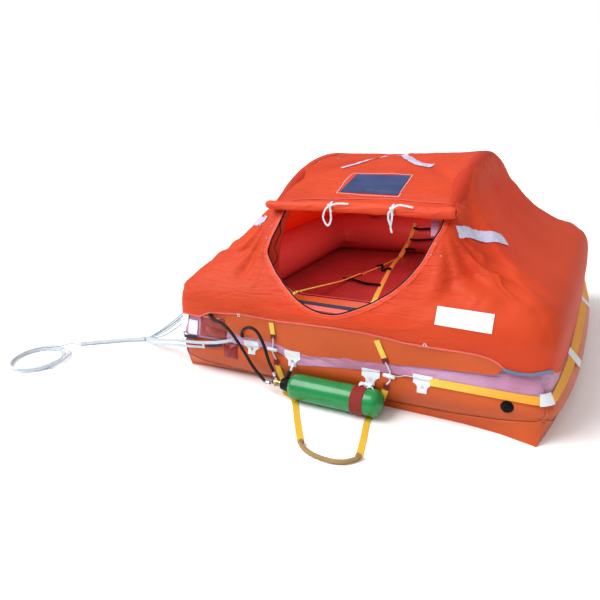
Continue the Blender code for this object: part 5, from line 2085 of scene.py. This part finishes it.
frontExtras = {
    "lanyardTie": {"points": [(-0.214, -0.953, 0.168), (-0.217, -0.972, 0.150), (-0.220, -0.982, 0.134)], "width": 0.010},
    "navyEndLow": {"points": [(-0.748, -0.956, 0.176), (-0.700, -0.962, 0.184), (-0.640, -0.960, 0.198)], "width": 0.016},
    "navyEndHigh": {"points": [(-0.905, -0.948, 0.206), (-0.860, -0.956, 0.210), (-0.812, -0.956, 0.214)], "width": 0.018},
}
for name, setup in frontExtras.items():
    path = smoothPath(setup["points"], 0.006)
    piece = strapPiece(name, path, [Vector((0, -1, 0.1)).normalized()] * len(path), setup["width"], 0.002, 3)
    finishPiece(piece, "navy" if name.startswith("navy") else "whiteWeb")
lanyard = smoothPath([(-0.219, -0.984, 0.138), (-0.232, -0.992, 0.112), (-0.250, -1.000, 0.086), (-0.262, -1.004, 0.072)], 0.005)
finishPiece(sweptPiece("lanyardSleeve", lanyard, 0.0105, 16, lambda turn, i: 1 + 0.05 * math.sin(i * 1.7 + turn * 2)), "braid")
for k, (middle, size) in enumerate((((0.163, -0.988, 0.133), 0.0135), ((0.201, -0.992, 0.128), 0.0155))):
    path = []
    for i in range(29):
        turn = 2 * math.pi * i / 28 * 0.985
        path.append(Vector(middle) + Vector((math.cos(turn) * size, 0.004 * math.sin(turn * 2), math.sin(turn) * size * 0.85)))
    finishPiece(sweptPiece("hangerLoop" + str(k), path, 0.0042, 10), "whiteWeb")
viewCord("toggleLine", frontTree, [(391, 374.5), (398, 376.5), (406, 375.5), (414, 377)], 0.0016, 0.003, "rope")
print("small fittings made")


# stage and light

lights = {"horizon": 0.28, "zenith": 0.98, "sun": 3.1, "spread": 44, "from": (-0.80, -0.50, 1.05), "cabin": 5.6}


def addStage():
    clearSelection()
    bpy.ops.mesh.primitive_plane_add(size=40, location=(0, 0, -0.0005))
    floor = bpy.context.object
    floor.name = "studioFloor"
    made = Finish("studioFloorPaint", Roughness=0.9)
    made.shader.inputs["Base Color"].default_value = rgb(0.96, 0.96, 0.96)
    floor.data.materials.append(made.material)
    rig.stage(floor)
    world = bpy.data.worlds.new("studio")
    bpy.context.scene.world = world
    world.use_nodes = True
    tree = world.node_tree
    back = tree.nodes["Background"]
    back.inputs["Color"].default_value = rgb(1.0, 1.0, 1.0)
    way = tree.nodes.new("ShaderNodeTexCoord")
    sides = tree.nodes.new("ShaderNodeSeparateXYZ")
    rise = tree.nodes.new("ShaderNodeMapRange")
    rise.inputs["To Min"].default_value = lights["horizon"]
    rise.inputs["To Max"].default_value = lights["zenith"]
    tree.links.new(way.outputs["Generated"], sides.inputs[0])
    tree.links.new(sides.outputs["Z"], rise.inputs["Value"])
    tree.links.new(rise.outputs[0], back.inputs["Strength"])
    plain = tree.nodes.new("ShaderNodeBackground")
    plain.inputs["Color"].default_value = rgb(1.0, 1.0, 1.0)
    plain.inputs["Strength"].default_value = 1.0
    rays = tree.nodes.new("ShaderNodeLightPath")
    mix = tree.nodes.new("ShaderNodeMixShader")
    tree.links.new(rays.outputs["Is Camera Ray"], mix.inputs[0])
    tree.links.new(back.outputs[0], mix.inputs[1])
    tree.links.new(plain.outputs[0], mix.inputs[2])
    tree.links.new(mix.outputs[0], tree.nodes["World Output"].inputs["Surface"])
    data = bpy.data.lights.new("softSun", "SUN")
    data.energy = lights["sun"]
    data.angle = math.radians(lights["spread"])
    lamp = bpy.data.objects.new("softSun", data)
    lamp.rotation_mode = "QUATERNION"
    lamp.rotation_quaternion = Vector(lights["from"]).to_track_quat("Z", "Y")
    bpy.context.scene.collection.objects.link(lamp)
    data = bpy.data.lights.new("cabinLight", "AREA")
    data.size = 0.7
    data.energy = lights["cabin"]
    lamp = bpy.data.objects.new("cabinLight", data)
    lamp.location = (0.05, -0.10, 0.92)
    bpy.context.scene.collection.objects.link(lamp)
    bpy.context.scene.view_settings.view_transform = "Standard"


addStage()

for node in frame["nodes"].values():
    node.data.materials.clear()
nodeFinishes = {
    "tube_joining_band": "band", "bottom_sheet": "sheet", "inner_floor": "floor", "bow_left": "bow",
    "bow_right": "bow", "door_roll": "canopy", "door_tie_left": "whiteWeb", "door_tie_right": "whiteWeb",
    "gas_cylinder": "green", "cylinder_strap": "meshRed", "cylinder_neck_cover": "rubber",
    "cylinder_valve": "brass", "cylinder_hanger": "white", "inflation_hose_lower": "rubber",
    "inflation_hose_upper": "rubber", "topping_up_valve": "rubber", "inlet_pocket": "pouch",
    "tool_pouch": "pouch", "boarding_step": "tan", "bridle_strap_upper": "white", "bridle_strap_lower": "white",
    "painter_line": "rope", "painter_coil": "rope", "lifeline": "yellow",
}
for name, node in frame["nodes"].items():
    finish = nodeFinishes.get(name)
    if finish is None:
        finish = "yellow" if name.startswith(("ladder_s", "ladder_l", "inner_s", "step_k")) else "white"
        if name.startswith("inner_rung"):
            finish = "rubber"
    node.data.materials.append(finishes[finish])

# the right side bows out between its corners, as the photograph shows
bow = {"reach": 0.082, "highReach": 0.030, "from": 0.52, "to": 0.86}


def bowRightSide():
    for item in bpy.context.scene.objects:
        if item.type != "MESH" or item.name == "studioFloor" or item.name in frame["nodes"]:
            continue
        for vert in item.data.vertices:
            x, y, z = vert.co
            if x <= bow["from"] or abs(y) >= 0.95:
                continue
            share = min(1.0, (x - bow["from"]) / (bow["to"] - bow["from"]))
            share = share * share * (3 - 2 * share)
            high = min(1.0, max(0.0, (z - 0.12) / 0.14))
            reach = bow["reach"] + (bow["highReach"] - bow["reach"]) * high * high * (3 - 2 * high)
            vert.co.x = x + reach * share * (1 - abs(y / 0.95) ** 3)
        item.data.update()


bowRightSide()
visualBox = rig.bounds()
with open("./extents.json", "w") as file:
    json.dump({"cad": [list(corner) for corner in cadBox], "visual": [list(corner) for corner in visualBox]}, file)
